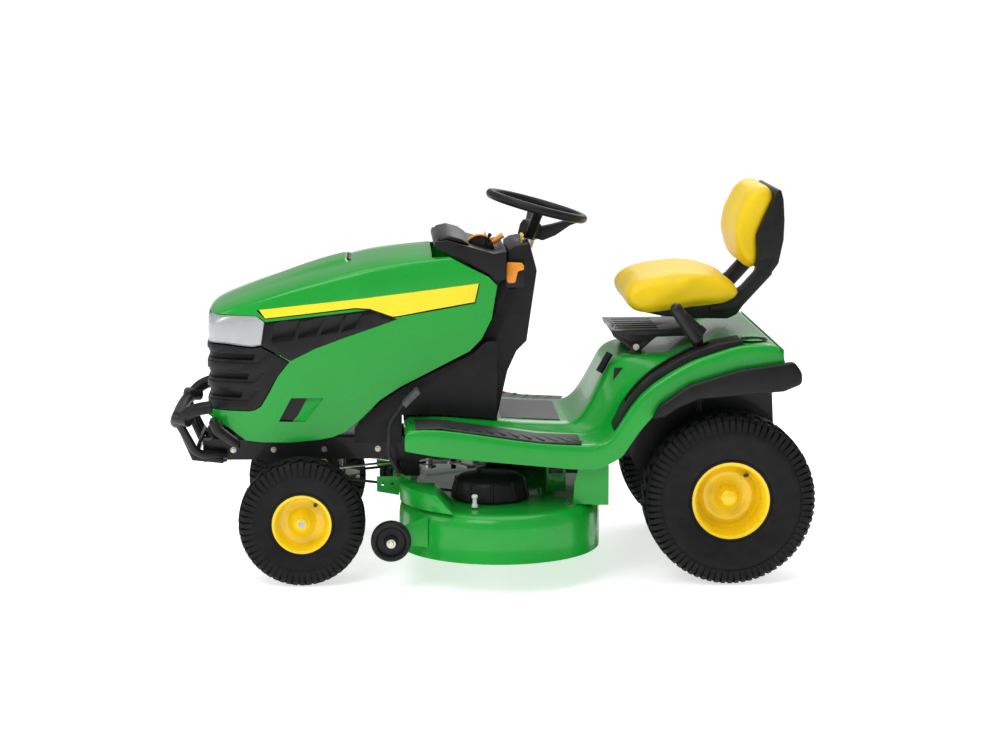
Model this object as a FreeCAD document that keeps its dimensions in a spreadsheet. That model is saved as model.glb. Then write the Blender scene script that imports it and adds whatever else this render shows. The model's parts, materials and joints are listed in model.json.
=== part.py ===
"""Riding lawn mower with a side-discharge cutting deck, as a parametric FreeCAD document.

Millimetres. +X is forward, +Y is left, +Z is up. While modelling, the rear axle's centre is above
x = 0 on the machine's middle plane y = 0, and the ground is z = 0. The last section places every
sub-part in the row frame, whose origin is the middle of the whole machine's footprint.
"""
import FreeCAD
import Part
import Sketcher
import math
import os

Vector = FreeCAD.Vector
Rotation = FreeCAD.Rotation
Placement = FreeCAD.Placement
X_AXIS, Y_AXIS, Z_AXIS = Vector(1, 0, 0), Vector(0, 1, 0), Vector(0, 0, 1)
LEFT, RIGHT = 1, -1

doc = FreeCAD.newDocument("riding_mower")
sheet = doc.addObject("Spreadsheet::Sheet", "dims")
NODES = []


# ---------------------------------------------------------------- driving dimensions

class Dim(float):
    """A number that also remembers the spreadsheet formula it comes from."""

    def __new__(cls, value, formula):
        made = float.__new__(cls, value)
        made.formula = formula
        return made

    def __add__(self, other):
        return Dim(float(self) + float(other), f"({text(self)} + {text(other)})")

    def __radd__(self, other):
        return Dim(float(other) + float(self), f"({text(other)} + {text(self)})")

    def __sub__(self, other):
        return Dim(float(self) - float(other), f"({text(self)} - {text(other)})")

    def __rsub__(self, other):
        return Dim(float(other) - float(self), f"({text(other)} - {text(self)})")

    def __mul__(self, other):
        return Dim(float(self) * float(other), f"({text(self)} * {text(other)})")

    def __rmul__(self, other):
        return Dim(float(other) * float(self), f"({text(other)} * {text(self)})")

    def __truediv__(self, other):
        return Dim(float(self) / float(other), f"({text(self)} / {text(other)})")

    def __neg__(self):
        return Dim(-float(self), f"(-1 * {text(self)})")


def text(value):
    """The formula of a Dim, or a plain number written out."""
    return value.formula if isinstance(value, Dim) else f"{float(value):.6f}"


row_count = 0


def dim(alias, value):
    """Keeps one driving dimension in the spreadsheet and returns it as a Dim."""
    global row_count
    row_count += 1
    sheet.set(f"A{row_count}", alias)
    sheet.set(f"B{row_count}", repr(float(value)))
    sheet.setAlias(f"B{row_count}", alias)
    return Dim(value, f"dims.{alias}")


def bind(obj, prop, value):
    """Sets a property, by formula where the value comes from the spreadsheet."""
    if isinstance(value, Dim):
        obj.setExpression(prop, value.formula)
    elif prop.startswith("Placement.") or prop.startswith("AttachmentOffset."):
        obj.setExpression(prop, text(value))
    else:
        setattr(obj, prop, float(value))


# wheels and track
wheelbase = dim("wheelbase", 1242)
front_radius = dim("front_tyre_radius", 184.5)
rear_radius = dim("rear_tyre_radius", 250)
front_width = dim("front_tyre_width", 145)
rear_width = dim("rear_tyre_width", 200)
front_half_track = dim("front_half_track", 337.5)
rear_half_track = dim("rear_half_track", 355)
front_bead = dim("front_bead_radius", 76)
rear_bead = dim("rear_bead_radius", 102)
stub_radius = dim("stub_axle_radius", 9.5)
running = dim("running_clearance", 0.08)
# frame and front axle
rail_half = dim("rail_half_width", 130)
rail_bottom = dim("rail_bottom", 326)
rail_top = dim("rail_top", 386)
rail_front = dim("rail_front", 1540)
rail_rear = dim("rail_rear", -190)
steel = dim("frame_plate", 4)
heavy = dim("heavy_plate", 6)
pivot_height = dim("axle_pivot_height", 258)
kingpin_half = dim("kingpin_half_track", 235)
kingpin_radius = dim("kingpin_radius", 10)
arm_reach = dim("steering_arm_reach", 70)
steer_plane = dim("steering_plane", 285)
arm_plate = dim("steering_plate", 8)
# steering
sector_pivot = dim("sector_pivot_x", 790)
gear_module = dim("gear_module", 3)
pinion_x = sector_pivot - gear_module * 25
column_tilt = dim("column_tilt", 15.5)
wheel_x = dim("steering_wheel_x", 537.5)
wheel_z = dim("steering_wheel_z", 1069)
wheel_ring = dim("steering_wheel_ring", 144)
wheel_grip = dim("steering_wheel_grip", 13.5)
# deck
deck_x = dim("deck_left_centre_x", 665)
deck_right_x = dim("deck_right_centre_x", 615)
mandrel_x = dim("left_mandrel_x", 690)
mandrel_right_x = dim("right_mandrel_x", 590)
mandrel_half = dim("mandrel_half_spacing", 262)
deck_radius = dim("deck_radius", 296)
deck_bottom = dim("deck_bottom", 97)
deck_top = dim("deck_top", 235)
deck_wall = dim("deck_wall", 3)
blade_radius = dim("blade_radius", 262)
gauge_radius = dim("gauge_wheel_radius", 58)
gauge_width = dim("gauge_wheel_width", 44)
gauge_height = dim("gauge_wheel_height", 157)
gauge_half = dim("gauge_wheel_half_track", 500)
chute_reach = dim("chute_reach", 575)
belt_plane = dim("mower_belt_plane", 252)
traction_plane = dim("traction_belt_plane", 345)
crank_x = dim("crankshaft_x", 1130)
input_x = dim("transaxle_input_x", 40)
# body
foot_half = dim("fender_half_width", 423)
trim_half = dim("trim_half_width", 455)
sheet_metal = dim("fender_thickness", 4)
hood_wall = dim("hood_wall", 4)
hinge_x = dim("hood_hinge_x", 1500)
hinge_z = dim("hood_hinge_z", 440)
tower_half = dim("tower_half_width", 160)
cowl_half = dim("cowl_half_width", 225)
panel_half = dim("dash_panel_half_width", 218)
# seat
seat_pivot_x = dim("seat_pivot_x", 251)
seat_pivot_z = dim("seat_pivot_z", 662)
seat_half = dim("seat_half_width", 240)
back_half = dim("backrest_half_width", 190)
# lift
lever_x = dim("lift_lever_x", 60)
lever_z = dim("lift_lever_z", 400)
lift_x = dim("lift_shaft_x", 370)
lift_z = dim("lift_shaft_z", 300)
lift_arm = dim("lift_arm_length", 130)
lift_pin = dim("lift_pin_radius", 7)
hitch_x = dim("hitch_hole_x", -216)
hitch_hole = dim("hitch_hole_radius", 9.5)
doc.recompute()


# ---------------------------------------------------------------- building blocks

def origin_plane(body, role):
    return [f for f in body.Origin.OriginFeatures if f.Role == role][0]


def new_body(name):
    return doc.addObject("PartDesign::Body", name)


def polygon_sketch(body, role, points, offset=0.0):
    """A closed polygon whose every corner is tied to the sketch's origin by bound distances."""
    sketch = body.newObject("Sketcher::SketchObject", "profile")
    sketch.AttachmentSupport = [(origin_plane(body, role), "")]
    sketch.MapMode = "FlatFace"
    bind(sketch, "AttachmentOffset.Base.z", offset)
    count = len(points)
    for i, (u, v) in enumerate(points):
        nu, nv = points[(i + 1) % count]
        sketch.addGeometry(Part.LineSegment(Vector(float(u), float(v), 0), Vector(float(nu), float(nv), 0)))
    for i in range(count):
        sketch.addConstraint(Sketcher.Constraint("Coincident", i, 2, (i + 1) % count, 1))
    for i, (u, v) in enumerate(points):
        for kind, value in (("DistanceX", u), ("DistanceY", v)):
            number = sketch.addConstraint(Sketcher.Constraint(kind, -1, 1, i, 1, float(value)))
            if isinstance(value, Dim):
                sketch.setExpression(f"Constraints[{number}]", value.formula)
    return sketch


def circle_sketch(body, role, circles, offset=0.0):
    """Circles (u, v, radius), each tied to the sketch's origin by bound distances."""
    sketch = body.newObject("Sketcher::SketchObject", "circles")
    sketch.AttachmentSupport = [(origin_plane(body, role), "")]
    sketch.MapMode = "FlatFace"
    bind(sketch, "AttachmentOffset.Base.z", offset)
    for i, (u, v, radius) in enumerate(circles):
        centre = Vector(float(u), float(v), 0)
        sketch.addGeometry(Part.Circle(centre, Z_AXIS, float(radius)))
        for kind, value in (("DistanceX", u), ("DistanceY", v)):
            number = sketch.addConstraint(Sketcher.Constraint(kind, -1, 1, i, 3, float(value)))
            if isinstance(value, Dim):
                sketch.setExpression(f"Constraints[{number}]", value.formula)
        number = sketch.addConstraint(Sketcher.Constraint("Radius", i, float(radius)))
        if isinstance(radius, Dim):
            sketch.setExpression(f"Constraints[{number}]", radius.formula)
    return sketch


# The sketch plane's normal against the row axis that a pad runs along
PLANE_SIGN = {"XY_Plane": 1, "XZ_Plane": -1, "YZ_Plane": 1}


def pad(body, sketch, length):
    feature = body.newObject("PartDesign::Pad", "pad")
    feature.Profile = sketch
    feature.Midplane = True
    bind(feature, "Length", length)
    sketch.Visibility = False
    return feature


def prism(name, role, points, low, high, holes=()):
    """A body padded from low to high along the axis across its sketch plane, with round holes through it."""
    body = new_body(name)
    middle = (low + high) / 2 * PLANE_SIGN[role]
    pad(body, polygon_sketch(body, role, points, middle), high - low)
    if holes:
        cut = body.newObject("PartDesign::Pocket", "holes")
        cut.Profile = circle_sketch(body, role, holes, middle)
        cut.Midplane = True
        bind(cut, "Length", (high - low) * 3)
    return body


def disc(name, role, u, v, radius, low, high, hole=None):
    """A round body padded from low to high, with an optional bore."""
    body = new_body(name)
    middle = (low + high) / 2 * PLANE_SIGN[role]
    pad(body, circle_sketch(body, role, [(u, v, radius)], middle), high - low)
    if hole is not None:
        cut = body.newObject("PartDesign::Pocket", "bore")
        cut.Profile = circle_sketch(body, role, [(u, v, hole)], middle)
        cut.Midplane = True
        bind(cut, "Length", (high - low) * 3)
    return body


def turned(name, points, base=Vector(), rotation=Rotation()):
    """A body of revolution about its own Z axis: points are (radius, height). Then it is placed."""
    body = new_body(name)
    sketch = polygon_sketch(body, "XZ_Plane", points)
    feature = body.newObject("PartDesign::Revolution", "turned")
    feature.Profile = sketch
    feature.ReferenceAxis = (sketch, ["V_Axis"])
    feature.Angle = 360.0
    sketch.Visibility = False
    body.Placement = Placement(base, rotation)
    return body


def along_y(side):
    """The rotation that carries a turned body's Z axis to the outward Y direction of a side."""
    return Rotation(X_AXIS, -90 * side)


def box(name, low, high):
    """A Part box between two corners."""
    made = doc.addObject("Part::Box", name)
    for prop, axis, i in (("Length", "x", 0), ("Width", "y", 1), ("Height", "z", 2)):
        bind(made, prop, high[i] - low[i])
        bind(made, f"Placement.Base.{axis}", low[i])
    return made


def rod(name, start, end, radius):
    """A Part cylinder from start to end."""
    made = doc.addObject("Part::Cylinder", name)
    a, b = Vector(*[float(x) for x in start]), Vector(*[float(x) for x in end])
    bind(made, "Radius", radius)
    made.Height = (b - a).Length
    made.Placement = Placement(a, Rotation(Z_AXIS, b - a))
    return made


def fuse(name, shapes):
    made = doc.addObject("Part::MultiFuse", name)
    made.Shapes = shapes
    made.Refine = True
    return made


def cut(name, base, tool):
    made = doc.addObject("Part::Cut", name)
    made.Base, made.Tool = base, tool
    return made


def common(name, base, tool):
    made = doc.addObject("Part::Common", name)
    made.Base, made.Tool = base, tool
    return made


def group(name, shapes):
    """Separate solids of one sub-part."""
    made = doc.addObject("Part::Compound", name)
    made.Links = shapes
    return made


def fixed(name, shape):
    """A feature whose shape is worked out here with Part's own functions."""
    made = doc.addObject("Part::Feature", name)
    made.Shape = shape
    return made


def node(label, obj):
    """Names an object as one of the sub-parts to be written out."""
    obj.Label = label
    NODES.append((label, obj))
    return obj


def ribbon(points, thickness):
    """The outline of a strip along a polyline, on the left of the way it runs, mitred at its corners."""
    under = []
    last = len(points) - 1
    for i, (x, z) in enumerate(points):
        before, after = points[max(i - 1, 0)], points[min(i + 1, last)]
        normals = []
        for (ax, az), (bx, bz) in ((before, (x, z)), ((x, z), after)):
            run = math.hypot(bx - ax, bz - az)
            if run > 1e-9:
                normals.append(((az - bz) / run, (bx - ax) / run))
        nx, nz = (sum(n[0] for n in normals) / len(normals), sum(n[1] for n in normals) / len(normals))
        scale = thickness / (nx * nx + nz * nz)
        under.append((x + nx * scale, z + nz * scale))
    return list(points) + under[::-1]


def lift_line(points, height):
    return [(x, z + height) for x, z in points]


def tangent_loop(circles, z, offset=0.0):
    """The face inside a band drawn tight round circles (x, y, radius), given anticlockwise."""
    edges, ends = [], []
    count = len(circles)
    for i in range(count):
        x, y, r = (float(v) for v in circles[i])
        nx, ny, nr = (float(v) for v in circles[(i + 1) % count])
        r, nr = r + offset, nr + offset
        gap = math.hypot(nx - x, ny - y)
        heading = math.atan2(ny - y, nx - x) - math.pi / 2 + math.asin((r - nr) / gap)
        normal = Vector(math.cos(heading), math.sin(heading), 0)
        ends.append((Vector(x, y, z) + normal * r, Vector(nx, ny, z) + normal * nr, heading))
    for i in range(count):
        start, stop, heading = ends[i]
        arc_from, arc_to = ends[i - 1][1], start
        x, y, r = (float(v) for v in circles[i])
        turn = (heading - ends[i - 1][2]) % (2 * math.pi)
        middle = ends[i - 1][2] + turn / 2
        through = Vector(x, y, z) + Vector(math.cos(middle), math.sin(middle), 0) * (r + offset)
        edges.append(Part.Arc(arc_from, through, arc_to).toShape())
        edges.append(Part.LineSegment(start, stop).toShape())
    return Part.Face(Part.Wire(edges))


def slab(circles, low, high, offset=0.0):
    return tangent_loop(circles, float(low), offset).extrude(Vector(0, 0, float(high) - float(low)))


def extruded(points, low, high):
    """A plain solid from an XZ outline, between two values of y."""
    corners = [Vector(float(x), float(low), float(z)) for x, z in points]
    face = Part.Face(Part.makePolygon(corners + corners[:1]))
    return face.extrude(Vector(0, float(high) - float(low), 0))


def involute_gear(teeth, module, low, high, backlash=0.5):
    """Spur teeth with 25 degree flanks and shortened tips. A tooth is centred on angle 0."""
    pressure = math.radians(25)
    pitch = module * teeth / 2
    base, tip, root = pitch * math.cos(pressure), pitch + 0.8 * module, pitch - 1.1 * module
    half_tooth = math.pi / (2 * teeth) - backlash / 2 / pitch
    pitch_roll = math.tan(pressure) - pressure
    points = []
    for tooth in range(teeth):
        centre = 2 * math.pi * tooth / teeth
        flank = []
        for step in range(6):
            r = max(base, root) + (tip - max(base, root)) * step / 5
            roll = math.sqrt(max((r / base) ** 2 - 1, 0))
            flank.append((r, half_tooth + pitch_roll - (roll - math.atan(roll))))
        if root < base:
            flank.insert(0, (root, flank[0][1]))
        points += [(r, centre - a) for r, a in flank] + [(r, centre + a) for r, a in flank[::-1]]
    corners = [Vector(r * math.cos(a), r * math.sin(a), float(low)) for r, a in points]
    face = Part.Face(Part.makePolygon(corners + corners[:1]))
    return face.extrude(Vector(0, 0, float(high) - float(low)))


def internal_space(teeth, module, low, high, backlash=0.5):
    """The cutter that leaves internal teeth: its own teeth are the gaps. A gap is centred on angle 0."""
    pressure = math.radians(25)
    pitch = module * teeth / 2
    base, top, bottom = pitch * math.cos(pressure), pitch - 0.8 * module, pitch + 1.1 * module
    half_gap = math.pi / (2 * teeth) + backlash / 2 / pitch
    pitch_roll = math.tan(pressure) - pressure
    points = []
    for gap in range(teeth):
        centre = 2 * math.pi * gap / teeth
        flank = []
        for step in range(6):
            r = top + (bottom - top) * step / 5
            roll = math.sqrt(max((r / base) ** 2 - 1, 0))
            flank.append((r, half_gap + pitch_roll - (roll - math.atan(roll))))
        points += [(r, centre - a) for r, a in flank] + [(r, centre + a) for r, a in flank[::-1]]
    corners = [Vector(r * math.cos(a), r * math.sin(a), low) for r, a in points]
    face = Part.Face(Part.makePolygon(corners + corners[:1]))
    return face.extrude(Vector(0, 0, high - low))


def wedge_sector(radius, start, stop, low, high):
    """A flat pie slice between two angles in degrees."""
    steps = 24
    corners = [Vector(0, 0, low)]
    for i in range(steps + 1):
        a = math.radians(start + (stop - start) * i / steps)
        corners.append(Vector(radius * math.cos(a), radius * math.sin(a), low))
    face = Part.Face(Part.makePolygon(corners + corners[:1]))
    return face.extrude(Vector(0, 0, high - low))


# ---------------------------------------------------------------- chassis

def chassis_frame():
    web, inside = rail_half - steel, rail_half - 34
    pieces = []
    for side in (LEFT, RIGHT):
        outline = [(side * rail_half, rail_bottom), (side * rail_half, rail_top), (side * inside, rail_top),
                   (side * inside, rail_top - steel), (side * web, rail_top - steel),
                   (side * web, rail_bottom + steel), (side * inside, rail_bottom + steel),
                   (side * inside, rail_bottom)]
        pieces.append(prism(f"rail_{side}", "YZ_Plane", outline, rail_rear, rail_front))
        upright = [(-160, rail_top - 20), (-150, 560), (60, 612), (320, 606), (330, 470), (250, 300),
                   (190, 300), (150, rail_top - 20)]
        low, high = sorted((side * 204, side * 200))
        pieces.append(prism(f"upright_{side}", "XZ_Plane", upright, low, high,
                            [(lever_x, lever_z, 12 + running)]))
        for x in (-120, 210):
            low, high = sorted((side * (rail_half - 1), side * 201))
            pieces.append(box(f"outrigger_{x}_{side}", (x, low, rail_top - 20), (x + 30, high, rail_top)))
        low, high = sorted((side * 118, side * (rail_half - 1)))
        lug = [(lift_x - 20, rail_bottom + 2), (lift_x - 20, lift_z - 18), (lift_x + 20, lift_z - 18),
               (lift_x + 20, rail_bottom + 2)]
        pieces.append(prism(f"lift_lug_{side}", "XZ_Plane", lug, low, high,
                            [(lift_x, lift_z, 10 + running)]))
        low, high = sorted((side * 56, side * 62))
        ear = [(hinge_x - 16, rail_top - 2), (hinge_x - 16, hinge_z + 12), (hinge_x + 16, hinge_z + 12),
               (hinge_x + 16, rail_top - 2)]
        pieces.append(prism(f"hood_ear_{side}", "XZ_Plane", ear, low, high))
        pieces.append(rod(f"hood_pin_{side}", (hinge_x, side * 60, hinge_z), (hinge_x, side * 92, hinge_z), 6))
        # ears that carry the pedals' pivots
        low, high = sorted((side * 124, side * (rail_half - 1)))
        ear = [(895, rail_bottom + 2), (895, 272), (935, 272), (980, 294), (980, rail_bottom + 2)]
        holes = [(960, 312, 7 + running)] + ([(915, 290, 7 + running)] if side == RIGHT else [])
        pieces.append(prism(f"pedal_ear_{side}", "XZ_Plane", ear, low, high, holes))
    # plates under the rails, between the two belts
    for name, x0, x1 in (("steering_plate", 690, 850), ("rear_plate", 180, 250),
                         ("axle_plate", 1196, 1290), ("nose_plate", 1470, 1538)):
        pieces.append(box(name, (x0, -rail_half + 1, rail_bottom - heavy), (x1, rail_half - 1, rail_bottom + 1)))
    pieces.append(box("engine_plate", (980, -rail_half, rail_top - 1), (1290, rail_half, rail_top + 5)))
    pieces.append(box("nose_web", (1484, -rail_half, rail_top - 3), (1516, rail_half, rail_top + 3)))
    # brackets and pin of the pivoting front axle
    for name, x0 in (("axle_ear_rear", 1200), ("axle_ear_front", 1278)):
        pieces.append(box(name, (x0, -42, pivot_height - 24), (x0 + 6, 42, rail_bottom - 5)))
    pieces.append(rod("axle_pin", (1196, 0, pivot_height), (1290, 0, pivot_height), 10))
    # sector pin and hitch plate
    pieces.append(rod("sector_pin", (sector_pivot, 0, 268), (sector_pivot, 0, rail_bottom - 3), 8))
    pieces.append(box("rear_web", (rail_rear - 2, -rail_half, 244), (rail_rear + 4, rail_half, rail_top)))
    tongue = [(rail_rear + 2, -60), (rail_rear + 2, 60), (hitch_x + 4, 60), (hitch_x - 24, 26),
              (hitch_x - 24, -26), (hitch_x + 4, -60)]
    pieces.append(prism("tongue", "XY_Plane", tongue, Dim(240, "240"), Dim(246, "246"),
                        [(hitch_x, 0, hitch_hole)]))
    frame = fuse("frame_welded", pieces)
    tools = [rod("crank_opening", (crank_x, 0, 380), (crank_x, 0, 400), 45),
             rod("pinion_opening", (pinion_x, 0, 310), (pinion_x, 0, 335), 9.5 + running)]
    return node("chassis_frame", cut("chassis_frame", frame, fuse("frame_openings", tools)))


def front_guard():
    bar = doc.addObject("Part::Feature", "guard_hoop")
    path = [(1500, 258, 505), (1560, 258, 500), (1618, 196, 452), (1622, 0, 446), (1618, -196, 452),
            (1560, -258, 500), (1500, -258, 505)]
    bar.Shape = bent_tube(path, 19, 34)
    lower = doc.addObject("Part::Feature", "guard_lower")
    lower.Shape = bent_tube([(1606, 150, 452), (1560, 150, 345), (1470, 150, 345)], 10, 22)
    lower_right = doc.addObject("Part::Feature", "guard_lower_right")
    lower_right.Shape = bent_tube([(1606, -150, 452), (1560, -150, 345), (1470, -150, 345)], 10, 22)
    skid = box("guard_skid", (1552, -148, 330), (1560, 148, 376))
    tabs = [box(f"guard_tab_{side}", (1474, min(side * 130.4, side * 146), 337),
                (1496, max(side * 130.4, side * 146), 353)) for side in (LEFT, RIGHT)]
    return node("front_guard", fuse("front_guard", [bar, lower, lower_right, skid] + tabs))


def bent_tube(points, radius, bend):
    """A round bar along straight runs joined by tangent arcs of one bend radius."""
    path = [Vector(*[float(v) for v in p]) for p in points]
    edges, at = [], path[0]
    for i in range(1, len(path) - 1):
        into, out = (path[i] - path[i - 1]).normalize(), (path[i + 1] - path[i]).normalize()
        turn = into.getAngle(out)
        if turn < 0.01:
            continue
        reach = bend * math.tan(turn / 2)
        start, stop = path[i] - into * reach, path[i] + out * reach
        inward = (out - into).normalize()
        middle = path[i] + inward * (bend / math.cos(turn / 2) - bend)
        edges.append(Part.LineSegment(at, start).toShape())
        edges.append(Part.Arc(start, middle, stop).toShape())
        at = stop
    edges.append(Part.LineSegment(at, path[-1]).toShape())
    spine = Part.Wire(edges)
    circle = Part.Wire(Part.Circle(path[0], path[1] - path[0], radius).toShape())
    return spine.makePipeShell([circle], True, True)


def engine():
    base = float(rail_top) + 5.5
    block = box("crankcase", (1030, -95, base), (1230, 95, 560))
    pieces = [block]
    for side in (LEFT, RIGHT):
        for fin in range(5):
            low, high = sorted((side * (96 + fin * 14), side * (102 + fin * 14)))
            pieces.append(box(f"fin_{side}_{fin}", (1060, low, 430), (1200, high, 540)))
        low, high = sorted((side * 94, side * 160))
        pieces.append(box(f"cylinder_{side}", (1085, low, 445), (1175, high, 525)))
        low, high = sorted((side * 160, side * 182))
        pieces.append(box(f"rocker_cover_{side}", (1075, low, 440), (1185, high, 530)))
    blower = disc("blower", "XY_Plane", crank_x, 0, 140, Dim(559, "559"), Dim(655, "655"))
    screen = disc("screen", "XY_Plane", crank_x, 0, 90, Dim(654, "654"), Dim(690, "690"))
    cleaner = box("air_cleaner", (1010, -150, 640), (1080, 150, 740))
    filter_can = disc("oil_filter", "XZ_Plane", 1260, 450, 38, Dim(60, "60"), Dim(130, "130"))
    core = fuse("engine_core", pieces + [blower, screen, cleaner])
    muffler = box("muffler", (1310, -120, base), (1410, 120, 500))
    pipe = rod("exhaust_pipe", (1229, -60, 470), (1312, -60, 470), 16)
    case = fuse("engine_with_pipe", [core, pipe, muffler])
    bolt_on = rod("filter_neck", (1229, 95, 450), (1262, 95, 450), 12)
    whole = fuse("engine_whole", [case, filter_can, bolt_on])
    bore = rod("crank_bore", (crank_x, 0, 300), (crank_x, 0, 480), 20)
    return node("engine", cut("engine", whole, bore))


def pulley_profile(radius, plane, groove=9.5, shaft=12):
    """Outline of one grooved disc: (radius, height) about the pulley's axis."""
    half = groove / 2
    return [(shaft, plane - half - 4), (radius, plane - half - 4), (radius, plane - half),
            (radius - 11, plane - half + 1.5), (radius - 11, plane + half - 1.5), (radius, plane + half),
            (radius, plane + half + 4), (shaft, plane + half + 4)]


def crank_pulleys():
    upper = pulley_profile(50, traction_plane)
    lower = pulley_profile(55, belt_plane)
    outline = [(0, belt_plane - 18), (12, belt_plane - 18)] + lower + upper + [(12, 440), (0, 440)]
    return node("crank_pulleys", turned("crank_pulleys", outline, Vector(float(crank_x), 0, 0)))


def transaxle():
    case = box("gear_case", (-95, -95, 185), (95, 95, 318))
    rib = box("case_rib", (-70, -100, 230), (70, 100, 270))
    pieces = [case, rib]
    for side in (LEFT, RIGHT):
        pieces.append(rod(f"axle_tube_{side}", (0, side * 94, rear_radius), (0, side * 250, rear_radius), 32))
        low, high = sorted((side * 128, side * 160))
        pieces.append(box(f"axle_pad_{side}", (-30, low, 270), (30, high, rail_bottom - 0.2)))
    body = fuse("transaxle_case", pieces)
    bores = [rod("axle_bore", (0, -260, rear_radius), (0, 260, rear_radius), stub_radius + running),
             rod("input_bore", (input_x, 0, 280), (input_x, 0, 330), 12 + running)]
    return node("transaxle", cut("transaxle", body, fuse("transaxle_bores", bores)))


def transaxle_pulley():
    outline = [(0, 290), (12, 290)] + pulley_profile(62, traction_plane) + [(12, 358), (0, 358)]
    blades = [(12, 322), (58, 322), (58, 328), (12, 328)]
    outline = outline[:2] + blades + outline[2:]
    return node("transaxle_pulley", turned("transaxle_pulley", outline, Vector(float(input_x), 0, 0)))


def traction_belt():
    loop = [(input_x, 0, 62), (crank_x, 0, 50)]
    plane = float(traction_plane)
    outer = slab(loop, plane - 3.2, plane + 3.2, -1.5)
    inner = slab(loop, plane - 5, plane + 5, -10.6)
    return node("traction_belt", fixed("traction_belt", outer.cut(inner)))


# ---------------------------------------------------------------- front axle and steering

def axle_beam():
    outline = [(-52, 228), (52, 228), (150, 205), (210, 200), (210, 250), (150, 255), (60, 284),
               (-60, 284), (-150, 255), (-210, 250), (-210, 200), (-150, 205)]
    beam = prism("beam", "YZ_Plane", outline, wheelbase - 30, wheelbase + 30, [(0, pivot_height, 10 + running)])
    sleeves = [rod(f"sleeve_{s}", (wheelbase, s * kingpin_half, 204), (wheelbase, s * kingpin_half, 262), 19)
               for s in (LEFT, RIGHT)]
    webs = [box(f"sleeve_web_{s}", (wheelbase - 30, min(s * 205, s * 232), 206),
                (wheelbase + 30, max(s * 205, s * 232), 250)) for s in (LEFT, RIGHT)]
    bores = [rod(f"kingpin_bore_{s}", (wheelbase, s * kingpin_half, 190), (wheelbase, s * kingpin_half, 270),
                 kingpin_radius + running) for s in (LEFT, RIGHT)]
    solid = fuse("beam_solid", [beam] + sleeves + webs)
    return node("axle_beam", cut("axle_beam", solid, fuse("beam_bores", bores)))


def knuckle(side, label):
    y = side * kingpin_half
    shin = rod(f"kingpin_{label}", (wheelbase, y, 172), (wheelbase, y, 293), kingpin_radius)
    block = rod(f"knuckle_block_{label}", (wheelbase, y, 168), (wheelbase, y, 203), 17)
    stub = rod(f"stub_{label}", (wheelbase, y, front_radius), (wheelbase, side * 398, front_radius), stub_radius)
    collar = rod(f"collar_{label}", (wheelbase, y, front_radius), (wheelbase, side * 272, front_radius), 15)
    arm = box(f"arm_{label}", (wheelbase - 4, y - 12, steer_plane), (wheelbase + arm_reach, y + 12, steer_plane + arm_plate))
    boss = rod(f"arm_boss_{label}", (wheelbase, y, steer_plane), (wheelbase, y, steer_plane + arm_plate), 18)
    eye = rod(f"arm_eye_{label}", (wheelbase + arm_reach, y, steer_plane),
              (wheelbase + arm_reach, y, steer_plane + arm_plate), 14)
    stud = rod(f"arm_stud_{label}", (wheelbase + arm_reach, y, 290), (wheelbase + arm_reach, y, 310), 5)
    return node(f"steering_knuckle_{label}",
                fuse(f"steering_knuckle_{label}", [shin, block, stub, collar, arm, boss, eye, stud]))


def tie_rod(side, label):
    inner_z = 302 if side == LEFT else 276
    outer = Vector(float(wheelbase + arm_reach), float(side * kingpin_half), 302)
    inner = Vector(float(sector_pivot + arm_reach), 0, inner_z)
    run = (outer - inner).normalize()
    bar = rod(f"tie_bar_{label}", inner + run * 13, outer - run * 8, 3.6)
    eyes = [rod(f"tie_outer_{label}", outer - Z_AXIS * 4, outer + Z_AXIS * 4, 12),
            rod(f"tie_inner_{label}", inner - Z_AXIS * 4, inner + Z_AXIS * 4, 16)]
    holes = [rod(f"tie_outer_hole_{label}", outer - Z_AXIS * 9, outer + Z_AXIS * 9, 5 + running),
             rod(f"tie_inner_hole_{label}", inner - Z_AXIS * 9, inner + Z_AXIS * 9, 10.5)]
    return node(f"tie_rod_{label}", cut(f"tie_rod_{label}", fuse(f"tie_solid_{label}", [bar] + eyes),
                                        fuse(f"tie_holes_{label}", holes)))


def sector_gear():
    """An internal gear sector, so that the wheels turn the way the steering wheel does."""
    teeth, low, high = 60, float(steer_plane), float(steer_plane + arm_plate)
    pitch = float(gear_module) * teeth / 2
    ring = Part.makeCylinder(pitch + 16, high - low, Vector(0, 0, low))
    window = Part.makeCylinder(pitch + 1, high - low, Vector(0, 0, low))
    spokes = [Part.makeBox(120, 26, high - low, Vector(0, -13, low)) for i in range(2)]
    for spoke, angle in zip(spokes, (180 - 62, 180 + 62)):
        spoke.rotate(Vector(), Z_AXIS, angle)
    toothed = ring.cut(internal_space(teeth, float(gear_module), low - 1, high + 1))
    rear = wedge_sector(pitch + 30, 180 - 68, 180 + 68, low, high)
    rim = toothed.common(rear)
    spokes = [spoke.common(ring) for spoke in spokes]
    bands = [spoke.cut(wedge_sector(pitch + 4, 180 - 58, 180 + 58, low, high)) for spoke in spokes]
    hub = Part.makeCylinder(24, high - low, Vector(0, 0, low))
    arm = Part.makeBox(float(arm_reach), 24, high - low, Vector(0, -12, low))
    eye = Part.makeCylinder(14, high - low, Vector(float(arm_reach), 0, low))
    stud = Part.makeCylinder(5, 42, Vector(float(arm_reach), 0, 268))
    bore = Part.makeCylinder(8 + float(running), 40, Vector(0, 0, 270))
    shape = rim.fuse(bands + [hub, arm, eye, stud]).cut(bore).removeSplitter()
    shape.translate(Vector(float(sector_pivot), 0, 0))
    return node("sector_gear", fixed("sector_gear", shape))


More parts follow.
